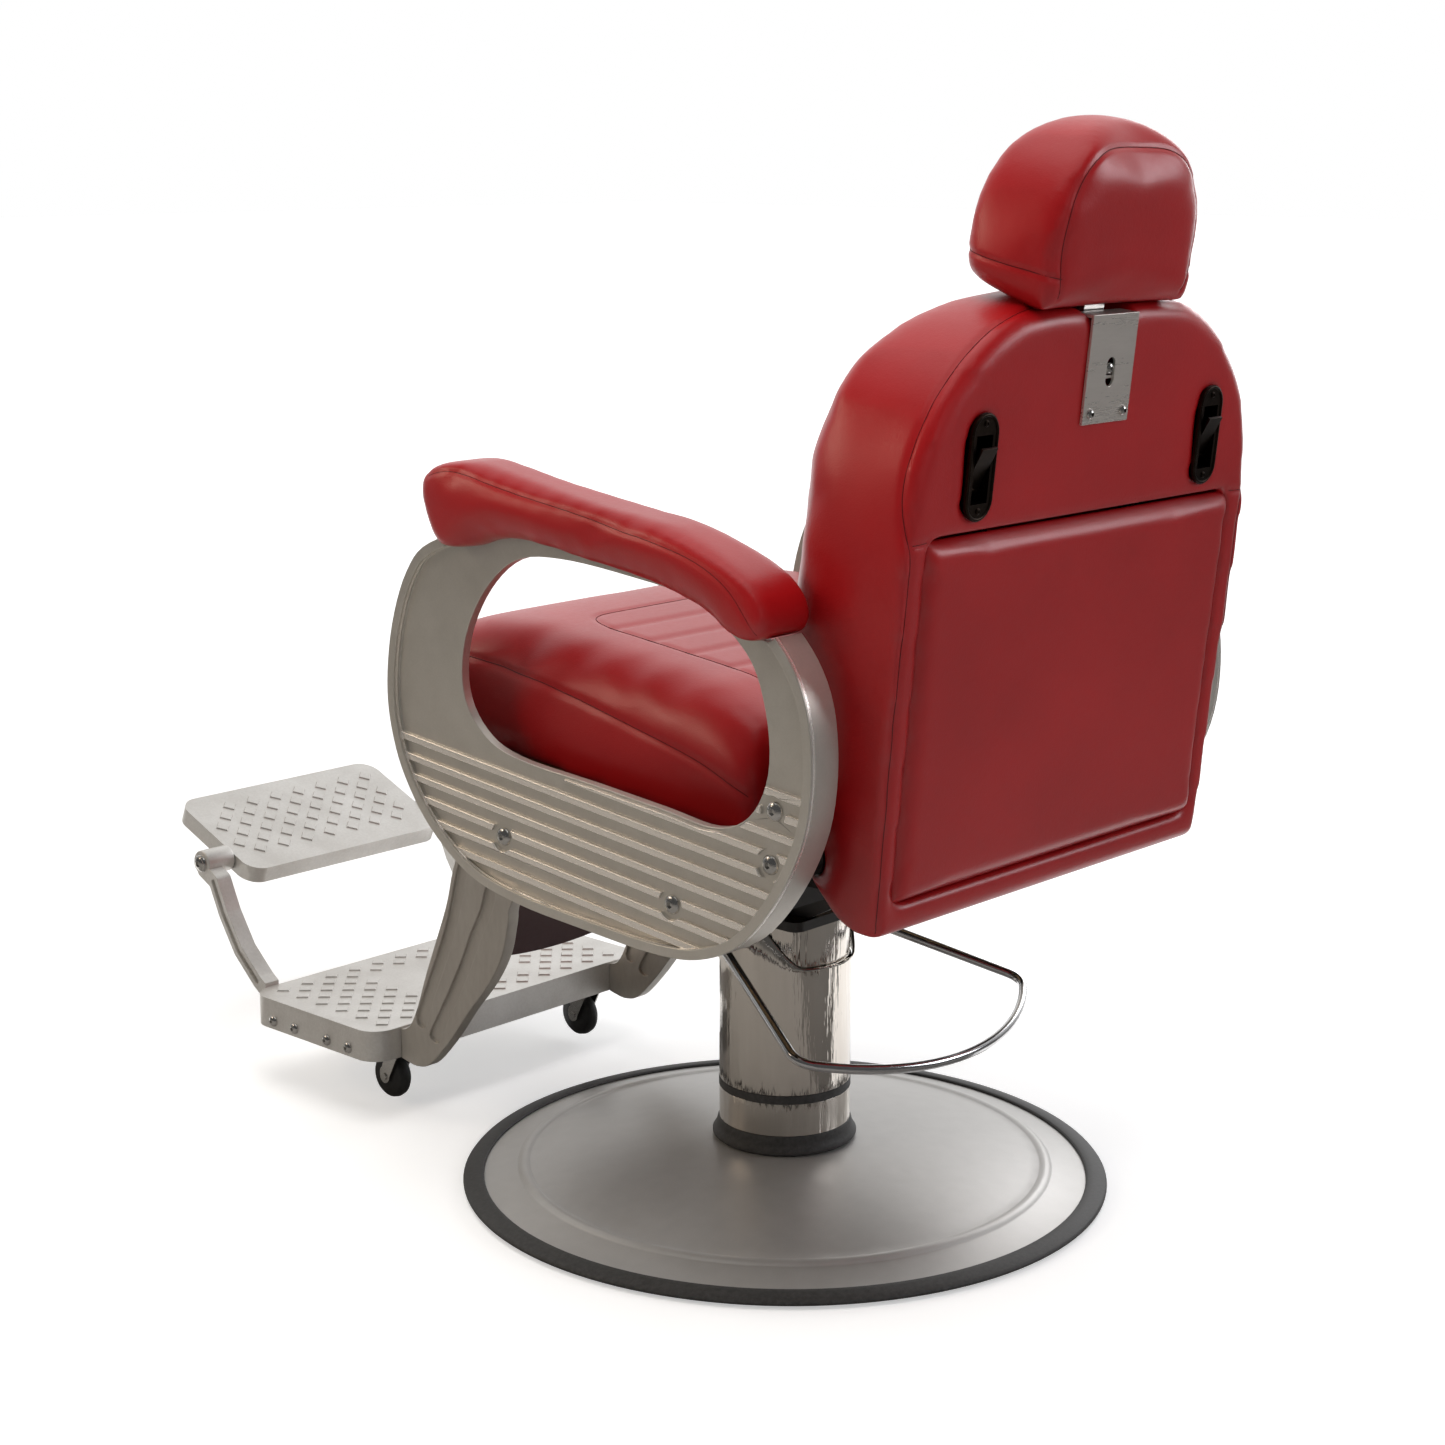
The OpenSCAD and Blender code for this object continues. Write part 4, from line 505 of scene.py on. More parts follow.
# %% [markdown]
# The cover is a thin chromed tube between the sleeve and the seat, open at the rear. A boolean
# could cut the opening, but would leave long thin triangles that a mirror finish shows up. Its
# upper edge follows a rule, so the points are computed in rings round the tube instead.
# %% Column cover with its arched opening
def cover_tube(low, high, outside, wall, lip):
    """A tube open at the rear; its upper edge drops to a lip in a smooth arch."""
    verts, faces = [], []
    steps = 240
    for i in range(steps):
        around = math.radians(360 * i / steps)
        away = 180 - abs(180 - 360 * i / steps)
        t = min(1, max(0, (away - 30) / 60))
        top = low + lip + (high - low - lip) * t * t * (3 - 2 * t)
        for r, z in ((outside - wall, low), (outside, low), (outside, top - 0.6),
                     (outside - 0.2, top - 0.15), (outside - 0.7, top), (outside - wall, top)):
            verts.append((r * MM * math.sin(around), r * MM * math.cos(around), z * MM))
    for i in range(steps):
        for k in range(6):
            a, b = 6 * i + k, 6 * i + (k + 1) % 6
            c, d = 6 * ((i + 1) % steps) + (k + 1) % 6, 6 * ((i + 1) % steps) + k
            faces.append((a, d, c, b))
    mesh = bpy.data.meshes.new("column_cover_arched")
    mesh.from_pydata(verts, [], faces)
    bm = bmesh.new()
    bm.from_mesh(mesh)
    bmesh.ops.recalc_face_normals(bm, faces=bm.faces)
    bm.to_mesh(mesh)
    bm.free()
    for polygon in mesh.polygons:
        polygon.use_smooth = True
    mesh.set_sharp_from_angle(angle=math.radians(55))
    return mesh


cover_low, cover_high = (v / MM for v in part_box("column_cover"))
cover_mesh = cover_tube(cover_low.z, cover_high.z, cover_high.x, wall=2.8, lip=2.0)
add_piece("column_cover_finished", cover_mesh, "swivel", chrome, "chrome_tube", "column_cover")
print("cover from", round(cover_low.z, 1), "to", round(cover_high.z, 1))

# %% [markdown]
# Left and right castings are rounded in one loop. Each radius is what the mould or the use would
# leave: wide on the plates that feet rub, tight on the latches and the bracket. The ribbed panels
# get one even width, because their many small faces would otherwise hold the radius back.
# %% Round the castings
for side in ("left", "right"):
    rounded("side_panel_" + side, "swivel", cast, "cast_aluminium", 0.9, segments=3,
            even_width=True)
    rounded("leg_" + side, "legrest", leg_cast, "cast_aluminium", 1.4)
    rounded("step_arm_" + side, "legrest", foot_cast, "foot_aluminium", 1.6)
    rounded("caster_fork_" + side, "caster_" + side, bolt_steel, "caster_steel", 0.5)
    rounded("caster_wheel_" + side, "wheel_" + side, tyre, "wheel_rubber", 1.0, flat=0, angle=40)
    rounded("paddle_" + side, "paddle_" + side, bronze, "latch_bronze", 0.7)
rounded("lower_footplate", "legrest", foot_cast, "foot_aluminium", 2.0)
rounded("upper_step", "step", foot_cast, "foot_aluminium", 2.2)
rounded("latch_bezels", "backrest", bronze, "latch_bronze", 0.7)
rounded("headrest_bracket", "backrest", plate_steel, "bracket_steel", 0.6)
rounded("headrest_bar", "headrest", bolt_steel, "bracket_steel", 0.8)
rounded("calf_board", "legrest", calf_backing, "maroon_backing", 1.5)
print("castings rounded")

# %% [markdown]
# ## Upholstery tools
# A cushion is foam pulled tight in leather: crowned faces, round edges, and a crease wherever the
# panels are sewn. Each one starts from its plain block, gets an even skin of small faces, has its
# edges softened, and is then filled by a short cloth simulation. Sculpting each one by hand would
# work as well, but the same filling gives all of them the same tension. The seams come last,
# because the new skin would erase them.
# %% Skin, soften and fill
def coords(mesh):
    """A mesh's points as rows of three numbers."""
    points = np.empty(len(mesh.vertices) * 3)
    mesh.vertices.foreach_get("co", points)
    return points.reshape(-1, 3)


def set_coords(mesh, points):
    """Moves a mesh's points to new places."""
    mesh.vertices.foreach_set("co", points.ravel())
    mesh.update()


def through(mesh, kind, **settings):
    """The mesh after one modifier."""
    work = bpy.data.objects.new("work", mesh)
    scene.collection.objects.link(work)
    modifier = work.modifiers.new("work", kind)
    for key, value in settings.items():
        setattr(modifier, key, value)
    made = bpy.data.meshes.new_from_object(
        work.evaluated_get(bpy.context.evaluated_depsgraph_get()))
    bpy.data.objects.remove(work)
    return made


def skin(mesh, voxel):
    """An even closed skin of small faces, voxel millimetres wide."""
    return through(mesh, "REMESH", mode="VOXEL", voxel_size=voxel * MM, use_smooth_shade=True)


def finer(mesh):
    """The mesh with each face smoothly split in four."""
    return through(mesh, "SUBSURF", levels=1, render_levels=1)


def soften(mesh, passes, give=None):
    """Draws every point towards its neighbours; give(points) is how freely, from 0 to 1."""
    points = coords(mesh)
    count = len(points)
    ends = np.empty(len(mesh.edges) * 2, int)
    mesh.edges.foreach_get("vertices", ends)
    a, b = ends.reshape(-1, 2).T
    share = np.ones(count) if give is None else np.clip(give(points), 0, 1)
    near = np.maximum(np.bincount(ends, minlength=count), 1)
    for _ in range(passes):
        total = np.stack([np.bincount(a, points[b, k], count) + np.bincount(b, points[a, k], count)
                          for k in range(3)], axis=1)
        points += 0.5 * share[:, None] * (total / near[:, None] - points)
    set_coords(mesh, points)


def fill(mesh, cap, give=None, pressure=4.0, frames=20, calm=14):
    """Blows a skin up as foam does, at most cap millimetres, then draws the leather taut."""
    start = coords(mesh)
    share = np.ones(len(start)) if give is None else np.clip(give(start), 0, 1)
    work = bpy.data.objects.new("filling", mesh)
    scene.collection.objects.link(work)
    cloth = work.modifiers.new("filling", "CLOTH")
    cloth.settings.use_pressure = True
    cloth.settings.uniform_pressure_force = pressure
    cloth.settings.quality = 4
    cloth.settings.effector_weights.gravity = 0.0
    cloth.collision_settings.use_collision = False
    cloth.point_cache.frame_start = 1
    cloth.point_cache.frame_end = frames
    for f in range(1, frames + 1):
        scene.frame_set(f)
    blown = work.evaluated_get(bpy.context.evaluated_depsgraph_get())
    move = coords(blown.data) - start
    bpy.data.objects.remove(work)
    scene.frame_set(1)
    length = np.maximum(np.linalg.norm(move, axis=1), 1e-9)
    move *= (np.minimum(1, cap * MM / length) * share)[:, None]
    set_coords(mesh, start + move)
    soften(mesh, calm, give)


print("upholstery tools ready")

# %% [markdown]
# Seams are drawn as a few points, smoothed into a curve and laid on the nearest skin. The skin is
# pressed in along the curve, as thread pulls it, and the thread itself comes from Geometry Nodes:
# a fine cord in the crease, in a dark leather that is painted shade and darkens the seam.
# %% Lay a line on the skin and press it in
def curve_through(points, step=2.0, closed=False):
    """Points a few millimetres apart on a smooth curve through the given ones."""
    p = [Vector(q) for q in points]
    n = len(p)
    made = []
    for i in range(n if closed else n - 1):
        a = p[(i - 1) % n] if closed or i else p[0]
        b, c = p[i], p[(i + 1) % n]
        d = p[(i + 2) % n] if closed or i + 2 < n else p[-1]
        steps = max(1, int((c - b).length / (step * MM)))
        for s in range(steps):
            t = s / steps
            made.append(0.5 * (2 * b + (c - a) * t + (2 * a - 5 * b + 4 * c - d) * t * t
                               + (3 * b - a - 3 * c + d) * t ** 3))
    if not closed:
        made.append(p[-1])
    return made


def even_line(values, passes):
    """Averages each value of a line with its neighbours; the ends stay."""
    v = np.array(values)
    for _ in range(passes):
        v[1:-1] = 0.5 * v[1:-1] + 0.25 * (v[:-2] + v[2:])
    return v


def lay(mesh, points):
    """The curve through the points on the nearest skin, and the skin's normals along it."""
    bm = bmesh.new()
    bm.from_mesh(mesh)
    tree = BVHTree.FromBMesh(bm)
    bm.free()
    line = np.array(curve_through(points))
    for _ in range(3):
        found = [tree.find_nearest(p) for p in line]
        line = even_line([f[0] for f in found], 5)
        normals = even_line([f[1] for f in found], 12)
    normals /= np.linalg.norm(normals, axis=1)[:, None]
    return line, normals


def press(mesh, lines, depth, width):
    """Pushes the skin in along lines: depth at the line, gone a few widths away."""
    points = coords(mesh)
    normals = np.empty(len(points) * 3)
    mesh.vertices.foreach_get("normal", normals)
    normals = normals.reshape(-1, 3)
    tree = KDTree(len(points))
    for i, p in enumerate(points):
        tree.insert(p, i)
    tree.balance()
    near = {}
    for line, _ in lines:
        for p in line:
            for _, i, d in tree.find_range(p, 3 * width * MM):
                near[i] = min(near.get(i, 1.0), d)
    if near:
        index = np.array(list(near))
        d = np.array(list(near.values())) / (width * MM)
        points[index] -= normals[index] * (depth * MM * np.exp(-d * d))[:, None]
        set_coords(mesh, points)


def sunk(lines, depth):
    """The lines as they lie in their pressed grooves."""
    return [[Vector(p) for p in line - normals * depth * MM] for line, normals in lines]


print("seam tools ready")

# %% [markdown]
# A curve with a round bevel would make a cord too. A node tree keeps the recipe in one place and
# serves every seam: edges become a curve, and a small ring is swept along it. The tree's start and
# its end are helpers of their own, because the screws and the treads need the same.
# %% Geometry Nodes: cord along a line
def new_tree(name, sizes, turned=False):
    """A tree that takes a mesh, named sizes, a turn if wanted, and a material."""
    tree = bpy.data.node_groups.new(name, "GeometryNodeTree")
    tree.interface.new_socket("Geometry", in_out="OUTPUT", socket_type="NodeSocketGeometry")
    kinds = {"Geometry": "NodeSocketGeometry"}
    kinds.update({key: "NodeSocketFloat" for key in sizes})
    if turned:
        kinds["Turn"] = "NodeSocketRotation"
    kinds["Material"] = "NodeSocketMaterial"
    ids = {}
    for key, kind in kinds.items():
        socket = tree.interface.new_socket(key, in_out="INPUT", socket_type=kind)
        if key in sizes:
            socket.default_value = sizes[key]
        ids[key] = socket.identifier
    return tree, ids, tree.nodes.new("NodeGroupInput")


def end_tree(tree, start, shape):
    """Ends a tree: its instances become real faces, in the tree's material."""
    real = tree.nodes.new("GeometryNodeRealizeInstances")
    tree.links.new(shape, real.inputs["Geometry"])
    finish = tree.nodes.new("GeometryNodeSetMaterial")
    tree.links.new(real.outputs["Geometry"], finish.inputs["Geometry"])
    tree.links.new(start.outputs["Material"], finish.inputs["Material"])
    end = tree.nodes.new("NodeGroupOutput")
    tree.links.new(finish.outputs["Geometry"], end.inputs["Geometry"])


def cord_tree():
    """Turns lines of edges into cord."""
    tree, ids, start = new_tree("sewing", {"Thread": 0.0004})
    curve = tree.nodes.new("GeometryNodeMeshToCurve")
    tree.links.new(start.outputs["Geometry"], curve.inputs["Mesh"])
    ring = node(tree, "GeometryNodeCurvePrimitiveCircle", Resolution=8)
    tree.links.new(start.outputs["Thread"], ring.inputs["Radius"])
    cord_mesh = node(tree, "GeometryNodeCurveToMesh", Fill_Caps=True)
    tree.links.new(curve.outputs["Curve"], cord_mesh.inputs["Curve"])
    tree.links.new(ring.outputs["Curve"], cord_mesh.inputs["Profile Curve"])
    end_tree(tree, start, cord_mesh.outputs["Mesh"])
    return tree, ids


sewing, sewing_ids = cord_tree()


def grow(mesh, tree, ids, **values):
    """The plain mesh that a node tree makes from a mesh."""
    work = bpy.data.objects.new("growing", mesh)
    scene.collection.objects.link(work)
    modifier = work.modifiers.new("growing", "NODES")
    modifier.node_group = tree
    for key, value in values.items():
        modifier[ids[key.replace("_", " ")]] = value
    work.update_tag()
    made = bpy.data.meshes.new_from_object(
        work.evaluated_get(bpy.context.evaluated_depsgraph_get()))
    bpy.data.objects.remove(work)
    made.polygons.foreach_set("material_index", np.zeros(len(made.polygons), int))
    return made


def thread_along(name, body, lines, radius, material, slot="red_leather"):
    """One piece of cord along all the lines."""
    verts, edges = [], []
    for line in lines:
        first = len(verts)
        verts += line
        edges += [(i, i + 1) for i in range(first, len(verts) - 1)]
    path_mesh = bpy.data.meshes.new(name + "_path")
    path_mesh.from_pydata(verts, edges, [])
    made = grow(path_mesh, sewing, sewing_ids, Thread=radius * MM, Material=material)
    for polygon in made.polygons:
        polygon.use_smooth = True
    return add_piece(name, made, body, material, slot)


print("sewing tree made")

# %% [markdown]
# ## Seat cushion
# The cushion is a foam block on a board. Its top panel is sewn to a side band along a line that
# drops towards the back, and a pleated inset is stitched into the middle of the top.
# %% Seat cushion
def smooth_step(value, low, high):
    """0 up to low, 1 from high on, and a smooth rise between them."""
    t = np.clip((value - low) / (high - low), 0, 1)
    return t * t * (3 - 2 * t)


seat = skin(welded("seat_cushion", flat=0), 6.5)
deck = 0.3169  # the top of the column, which the seat's heights are counted from
board_slope = math.tan(math.radians(6.1))


def seat_up(points):
    """Height over the sloping board, from 0 at its face."""
    return points[:, 2] - (deck + 0.145 + 0.0123 - points[:, 1] * board_slope)


soften(seat, 22, lambda p: smooth_step(seat_up(p), 0.004, 0.03))
fill(seat, 9, lambda p: smooth_step(seat_up(p), 0.02, 0.07) * smooth_step(-p[:, 1], -0.17, -0.10))
seat = finer(seat)

side_seam = [(0.262, 0.186, 0.497), (0.265, 0.127, 0.520), (0.265, 0.035, 0.541),
             (0.265, -0.062, 0.562), (0.265, -0.141, 0.576), (0.264, -0.211, 0.583)]
front_seam = [(0.252, -0.268, 0.585), (0.205, -0.300, 0.587), (0.1, -0.308, 0.590)]
band_seam = side_seam + front_seam
band_seam += [(-x, y, z) for x, y, z in reversed(band_seam)]
inset = [(0.165, 0.180, 0.62), (0.165, 0.08, 0.62), (0.165, -0.04, 0.63), (0.162, -0.10, 0.63),
         (0.140, -0.134, 0.64), (0.08, -0.139, 0.64)]
inset += [(-x, y, z) for x, y, z in reversed(inset)]
seat_seams = [lay(seat, band_seam), lay(seat, inset)]
pleats = [lay(seat, [(-0.158, y, 0.64), (0, y, 0.64), (0.158, y, 0.64)])
          for y in (-0.085, -0.030, 0.025, 0.080, 0.135)]
press(seat, seat_seams, 1.5, 4.0)
press(seat, pleats, 2.0, 6.5)
seat_piece = add_piece("seat_cushion_padded", seat, "swivel", red_leather, "red_leather",
                       "seat_cushion")
thread_along("seat_seam_cords", "swivel", sunk(seat_seams, 1.3), 0.4, seam_shade_leather)
print("seat cushion", len(seat.polygons), "faces,", len(pleats), "pleats")

# %% [markdown]
# ## Backrest
# The back leans six degrees, so its pieces are drawn in the back's own frame, with the origin on
# its hinge and Z up the lean. One leather shell wraps the front, the sides and the upper rear. A
# separate padded panel closes the lower rear, between two narrow strips of the shell.
# %% The back's own frame
lean = math.radians(6)
hinge = np.array([0.0, 0.250, 0.4499])


def from_back(x, y, z):
    """A point given in millimetres in the back's frame, in metres in the room."""
    x, y, z = x * MM, y * MM, z * MM
    return (x, hinge[1] + y * math.cos(lean) + z * math.sin(lean),
            hinge[2] - y * math.sin(lean) + z * math.cos(lean))


def in_back(points):
    """Points of the room in the back's frame, in millimetres."""
    d = points - hinge
    return np.stack([d[:, 0], d[:, 1] * math.cos(lean) - d[:, 2] * math.sin(lean),
                     d[:, 1] * math.sin(lean) + d[:, 2] * math.cos(lean)], axis=1) / MM


def both_halves(half):
    """A whole outline from its half at +X."""
    return half + [(-x, y) for x, y in reversed(half) if x > 0]


def rounded_outline(points):
    """A closed outline made smooth, a few millimetres between points."""
    return [(p.x, p.y) for p in curve_through([Vector((x, y, 0)) for x, y in points], 4000, True)]


print("back hinge at", [round(v, 3) for v in from_back(0, 0, 0)])

# %% [markdown]
# The shell starts from the foam block and the upper rear panel. Their outline has straight sides,
# and softening alone would shrink it unevenly, so the points are first moved to a smooth outline
# and the rear edge is rolled over. The front then crowns freely, and the rear stays flat where the
# latches and the bracket sit.
# %% Leather shell of the back
def add_block(mesh, low, high):
    """The mesh with a block joined in, from corner to corner in the back's frame."""
    bm = bmesh.new()
    bm.from_mesh(mesh)
    corners = [bm.verts.new(from_back(x, y, z)) for z in (low[2], high[2])
               for y in (low[1], high[1]) for x in (low[0], high[0])]
    for face in ((0, 2, 3, 1), (4, 5, 7, 6), (0, 1, 5, 4), (1, 3, 7, 5), (3, 2, 6, 7),
                 (2, 0, 4, 6)):
        bm.faces.new([corners[i] for i in face])
    bm.to_mesh(mesh)
    bm.free()


block = welded("back_cushion", "back_upper_panel", flat=0)
# the leather runs in under both edges of the headrest's bracket plate
for side in (-1, 1):
    add_block(block, (min(side * 23, side * 43), 79, 410), (max(side * 23, side * 43), 92.4, 497))
shell = skin(block, 6.0)


def front_give(points):
    """The front half of the shell rounds over freely, its pockets and rear edges hardly."""
    q = in_back(points)
    outside = np.maximum(smooth_step(np.abs(q[:, 0]), 238, 250), smooth_step(-q[:, 1], 28, 40))
    top = smooth_step(q[:, 2], 455, 480)
    return np.maximum(outside, top) * smooth_step(-q[:, 1], -58, -8)


def round_outline(mesh, half, centre_z, low_z, rear, radius):
    """Makes a back's straight sided outline smooth and rolls its rear edge over."""
    full = both_halves(half)
    fine = [p for p in curve_through([Vector((x, z, 0)) for x, z in full], 3000)]
    smooth = np.array([(p.x, p.y - centre_z) for p in fine])
    rough = np.array([(x, z - centre_z) for x, z in full])
    q = in_back(coords(mesh))
    u = np.stack([q[:, 0], q[:, 2] - centre_z], axis=1)
    angle = np.arctan2(u[:, 0], u[:, 1])

    def reach(outline):
        """Distance from the centre to the outline in every direction."""
        a = np.arctan2(outline[:, 0], outline[:, 1])
        a_fine, r_fine = [], []
        for i in range(len(outline) - 1):
            for t in np.linspace(0, 1, 12, endpoint=False):
                p = outline[i] * (1 - t) + outline[i + 1] * t
                a_fine.append(math.atan2(p[0], p[1]))
                r_fine.append(math.hypot(*p))
        order = np.argsort(a_fine)
        return np.interp(angle, np.array(a_fine)[order], np.array(r_fine)[order])

    ratio = reach(smooth) / reach(rough)
    near_rim = smooth_step(np.hypot(u[:, 0], u[:, 1]) / reach(rough), 0.8, 0.97)
    share = near_rim * smooth_step(q[:, 2], low_z, low_z + 60)
    u *= (1 + (ratio - 1) * share)[:, None]
    length = np.hypot(u[:, 0], u[:, 1])
    edge = reach(smooth) * share + reach(rough) * (1 - share)
    out = np.clip(1 - (edge - length) / radius, 0, 1.1)
    back = np.clip(1 - (rear - q[:, 1]) / radius, 0, 1.1)
    shrink = np.maximum(out, back) / np.maximum(np.hypot(out, back), 1e-6)
    shrink = 1 + (np.where((out > 0) & (back > 0), shrink, 1) - 1) * smooth_step(q[:, 2], 300, 330)
    u *= (1 - out * (1 - shrink) * radius / length)[:, None]
    depth = q[:, 1] - back * (1 - shrink) * radius
    moved = np.array([from_back(x, y, z) for x, y, z in zip(u[:, 0], depth, u[:, 1] + centre_z)])
    set_coords(mesh, moved)


back_half = [(0, 521), (60, 518), (120, 506), (166, 488), (204, 461), (236, 425), (257, 382),
             (267, 330), (269, 280), (266, 200), (262, 100), (260, 0), (257, -54)]
round_outline(shell, back_half, 240, 20, 92, 17)
soften(shell, 70, front_give)
soften(shell, 3)


def shell_give(points):
    """The front crowns freely, the sides a little, the rear and the foot not at all."""
    q = in_back(points)
    front = smooth_step(-q[:, 1], 20, 45)
    side = 0.35 * smooth_step(np.abs(q[:, 0]), 236, 252) * smooth_step(-q[:, 1], -75, -40)
    foot = smooth_step(q[:, 2], -30, 40)
    return np.maximum(front, side) * foot


fill(shell, 12, shell_give)
shell = finer(shell)
rim = [(256, -50), (258, 60), (260, 180), (259, 280), (256, 350), (250, 406), (235, 435),
       (207, 466), (165, 495), (100, 508), (45, 511)]
rim_line = [from_back(x * (1.02 if z > 330 else 1), 76 if z > 330 else 90, z * 1.01)
            for x, z in rim]
rim_lines = [rim_line, [(-x, y, z) for x, y, z in rim_line]]
shelf = [from_back(x, 93, 312) for x in (238, 248, 259)]
shelf_lines = [shelf, [(-x, y, z) for x, y, z in shelf]]
laid = [lay(shell, line) for line in rim_lines + shelf_lines]
press(shell, laid, 1.8, 3.6)
shell_piece = add_piece("back_shell_padded", shell, "backrest", red_leather, "red_leather",
                        "back_cushion", "back_upper_panel")
thread_along("back_seam_cords", "backrest", sunk(laid, 1.6), 0.4, seam_shade_leather)
print("back shell", len(shell.polygons), "faces")

# %% [markdown]
# The lower rear panel is a thin pad, nearly flat, with a tight round edge. It is filled very
# little, and then stretched by two or three millimetres each way, to close the gap that softening
# leaves round it.
# %% Lower rear panel
panel = skin(welded("back_lower_panel", flat=0), 4.0)


def panel_give(points):
    """Only the outer face of the panel is free."""
    return smooth_step(in_back(points)[:, 1], 82, 88)


soften(panel, 8, panel_give)
fill(panel, 4, panel_give, calm=6)
spread = in_back(coords(panel))
spread[:, 0] *= (237 + 2.4) / 237
spread[:, 2] = np.interp(spread[:, 2], (-23, 100, 309), (-25.4, 100, 312.2))
set_coords(panel, np.array([from_back(*p) for p in spread]))
panel = finer(panel)
panel_piece = add_piece("back_lower_padded", panel, "backrest", red_leather, "red_leather",
                        "back_lower_panel")
print("lower rear panel", len(panel.polygons), "faces")

# %% [markdown]
# A raised bead runs round each oval latch. A swept profile is the usual way to make a bead, and
# the cord tree does just that, so it is used again: thicker, and in the latch's own bronze.
# %% Raised rims of the latches
def stadium_line(x, y, z, half_w, half_h):
    """A closed line round an upright slot in the back's frame."""
    line = []
    for end in (1, -1):
        for k in range(13):
            a = math.pi * k / 12
            line.append(Vector(from_back(x + end * half_w * math.cos(a), y,
                                         z + end * (half_h - half_w + half_w * math.sin(a)))))
    return line + [line[0].copy()]


latch_rims = [stadium_line(side * 178, 94.9, 374, 17.1, 46.6) for side in (-1, 1)]
thread_along("latch_rims", "backrest", latch_rims, 1.8, bronze, slot="latch_bronze")
print("2 latch rims")

# %% [markdown]
# ## Headrest
# The head cushion is a thick half disc. It is easier to cut than to draw: three prisms, one for
# each view, are intersected, and the skin, the softening and the filling do the rest.
# %% Prisms and their intersection
def prism(outline, axis, low, high):
    """A solid with an outline in the two other axes, between two places along one."""
    order = {"x": (1, 2, 0), "y": (0, 2, 1), "z": (0, 1, 2)}[axis]
    bm = bmesh.new()
    rings = []
    for depth in (low, high):
        ring = []
        for u, v in outline:
            p = [0.0, 0.0, 0.0]
            p[order[0]], p[order[1]], p[order[2]] = u, v, depth
            ring.append(bm.verts.new(p))
        rings.append(ring)
    n = len(outline)
    bm.faces.new(rings[0])
    bm.faces.new(list(reversed(rings[1])))
    for i in range(n):
        bm.faces.new([rings[0][i], rings[1][i], rings[1][(i + 1) % n], rings[0][(i + 1) % n]])
    bmesh.ops.recalc_face_normals(bm, faces=bm.faces)
    mesh = bpy.data.meshes.new("prism")
    bm.to_mesh(mesh)
    bm.free()
    return mesh


def common(mesh, other):
    """What two solids have in common."""
    cutter = bpy.data.objects.new("cutter", other)
    scene.collection.objects.link(cutter)
    made = through(mesh, "BOOLEAN", operation="INTERSECT", object=cutter, solver="EXACT")
    bpy.data.objects.remove(cutter)
    return made


head_front = [(0, 672), (44, 665), (76, 647), (100, 618), (116, 582), (126, 542), (124, 520),
              (114, 501)]
head_side = [(0, 538), (4, 526), (14, 524), (60, 512), (88, 502), (98, 510), (101, 560),
             (106, 635), (98, 654), (80, 667), (40, 672), (14, 660), (0, 620)]
head_plan = [(0, -2), (104, -2), (120, 10), (126, 30), (124, 56), (114, 80), (99, 106)]
head_front = rounded_outline(both_halves(head_front))
head = common(prism(head_front, "y", -30, 130), prism(rounded_outline(head_side), "x", -200, 200))
head = common(head, prism(rounded_outline(both_halves(head_plan)), "z", 400, 700))
set_coords(head, np.array([from_back(*p) for p in coords(head)]))
head = skin(head, 4.0)
print("head block", len(head.polygons), "faces")

# %% [markdown]
# The cut block has the right outline from three sides, but sharp edges. Softening rounds them,
# most of all at the front. Two seams are pressed in: one follows the edge of the rear disc, and
# one runs round the lower band.
# %% Head cushion
def head_give(points):
    """The front of the head cushion is free, its rear disc a quarter as much."""
    q = in_back(points)
    return 0.25 + 0.75 * smooth_step(-q[:, 1], -80, -40)


soften(head, 44, head_give)
fill(head, 5, calm=26)
head = finer(head)
disc_half = [(97, 512), (103, 540), (104, 572), (97, 605), (80, 632), (52, 650), (20, 657)]
disc_line = [from_back(x, 108, z) for x, z in disc_half]
disc_line += [(-x, y, z) for x, y, z in reversed(disc_line)]
band_half = [(99, 104, 535), (118, 84, 539), (127, 40, 545), (122, 6, 549), (90, -6, 550),
             (40, -6, 551)]
band_line = [from_back(*p) for p in band_half]
band_line += [(-x, y, z) for x, y, z in reversed(band_line)]
head_lines = [lay(head, disc_line), lay(head, band_line)]
press(head, head_lines, 1.3, 2.8)
head_piece = add_piece("headrest_padded", head, "headrest", red_leather, "red_leather",
                       "headrest_pad")
thread_along("headrest_seam_cords", "headrest", sunk(head_lines, 1.1), 0.38, seam_shade_leather)
print("head cushion", len(head.polygons), "faces")

# %% [markdown]
# ## Arm pads
# Both arm pads are the same pad, so the right one is the left one mirrored. A mirrored mesh is
# inside out, and its faces are flipped back.
# %% Arm pads
pad = skin(welded("arm_pad_left", flat=0), 4.0)
soften(pad, 12)
fill(pad, 4, calm=8)
pad = finer(pad)
pad_top = [(-0.160, 0.776), (-0.120, 0.783), (-0.06, 0.774), (0.02, 0.762), (0.09, 0.750),
           (0.15, 0.740), (0.200, 0.728), (0.238, 0.708), (0.262, 0.680), (0.272, 0.664)]
outer = lay(pad, [(0.348, y, z) for y, z in pad_top])
inner = lay(pad, [(0.272, y, z) for y, z in pad_top])
press(pad, [outer, inner], 0.7, 2.6)


def mirror_mesh(mesh):
    """A mesh mirrored from left to right, its faces turned outwards again."""
    made = mesh.copy()
    points = coords(made)
    points[:, 0] *= -1
    set_coords(made, points)
    made.flip_normals()
    return made


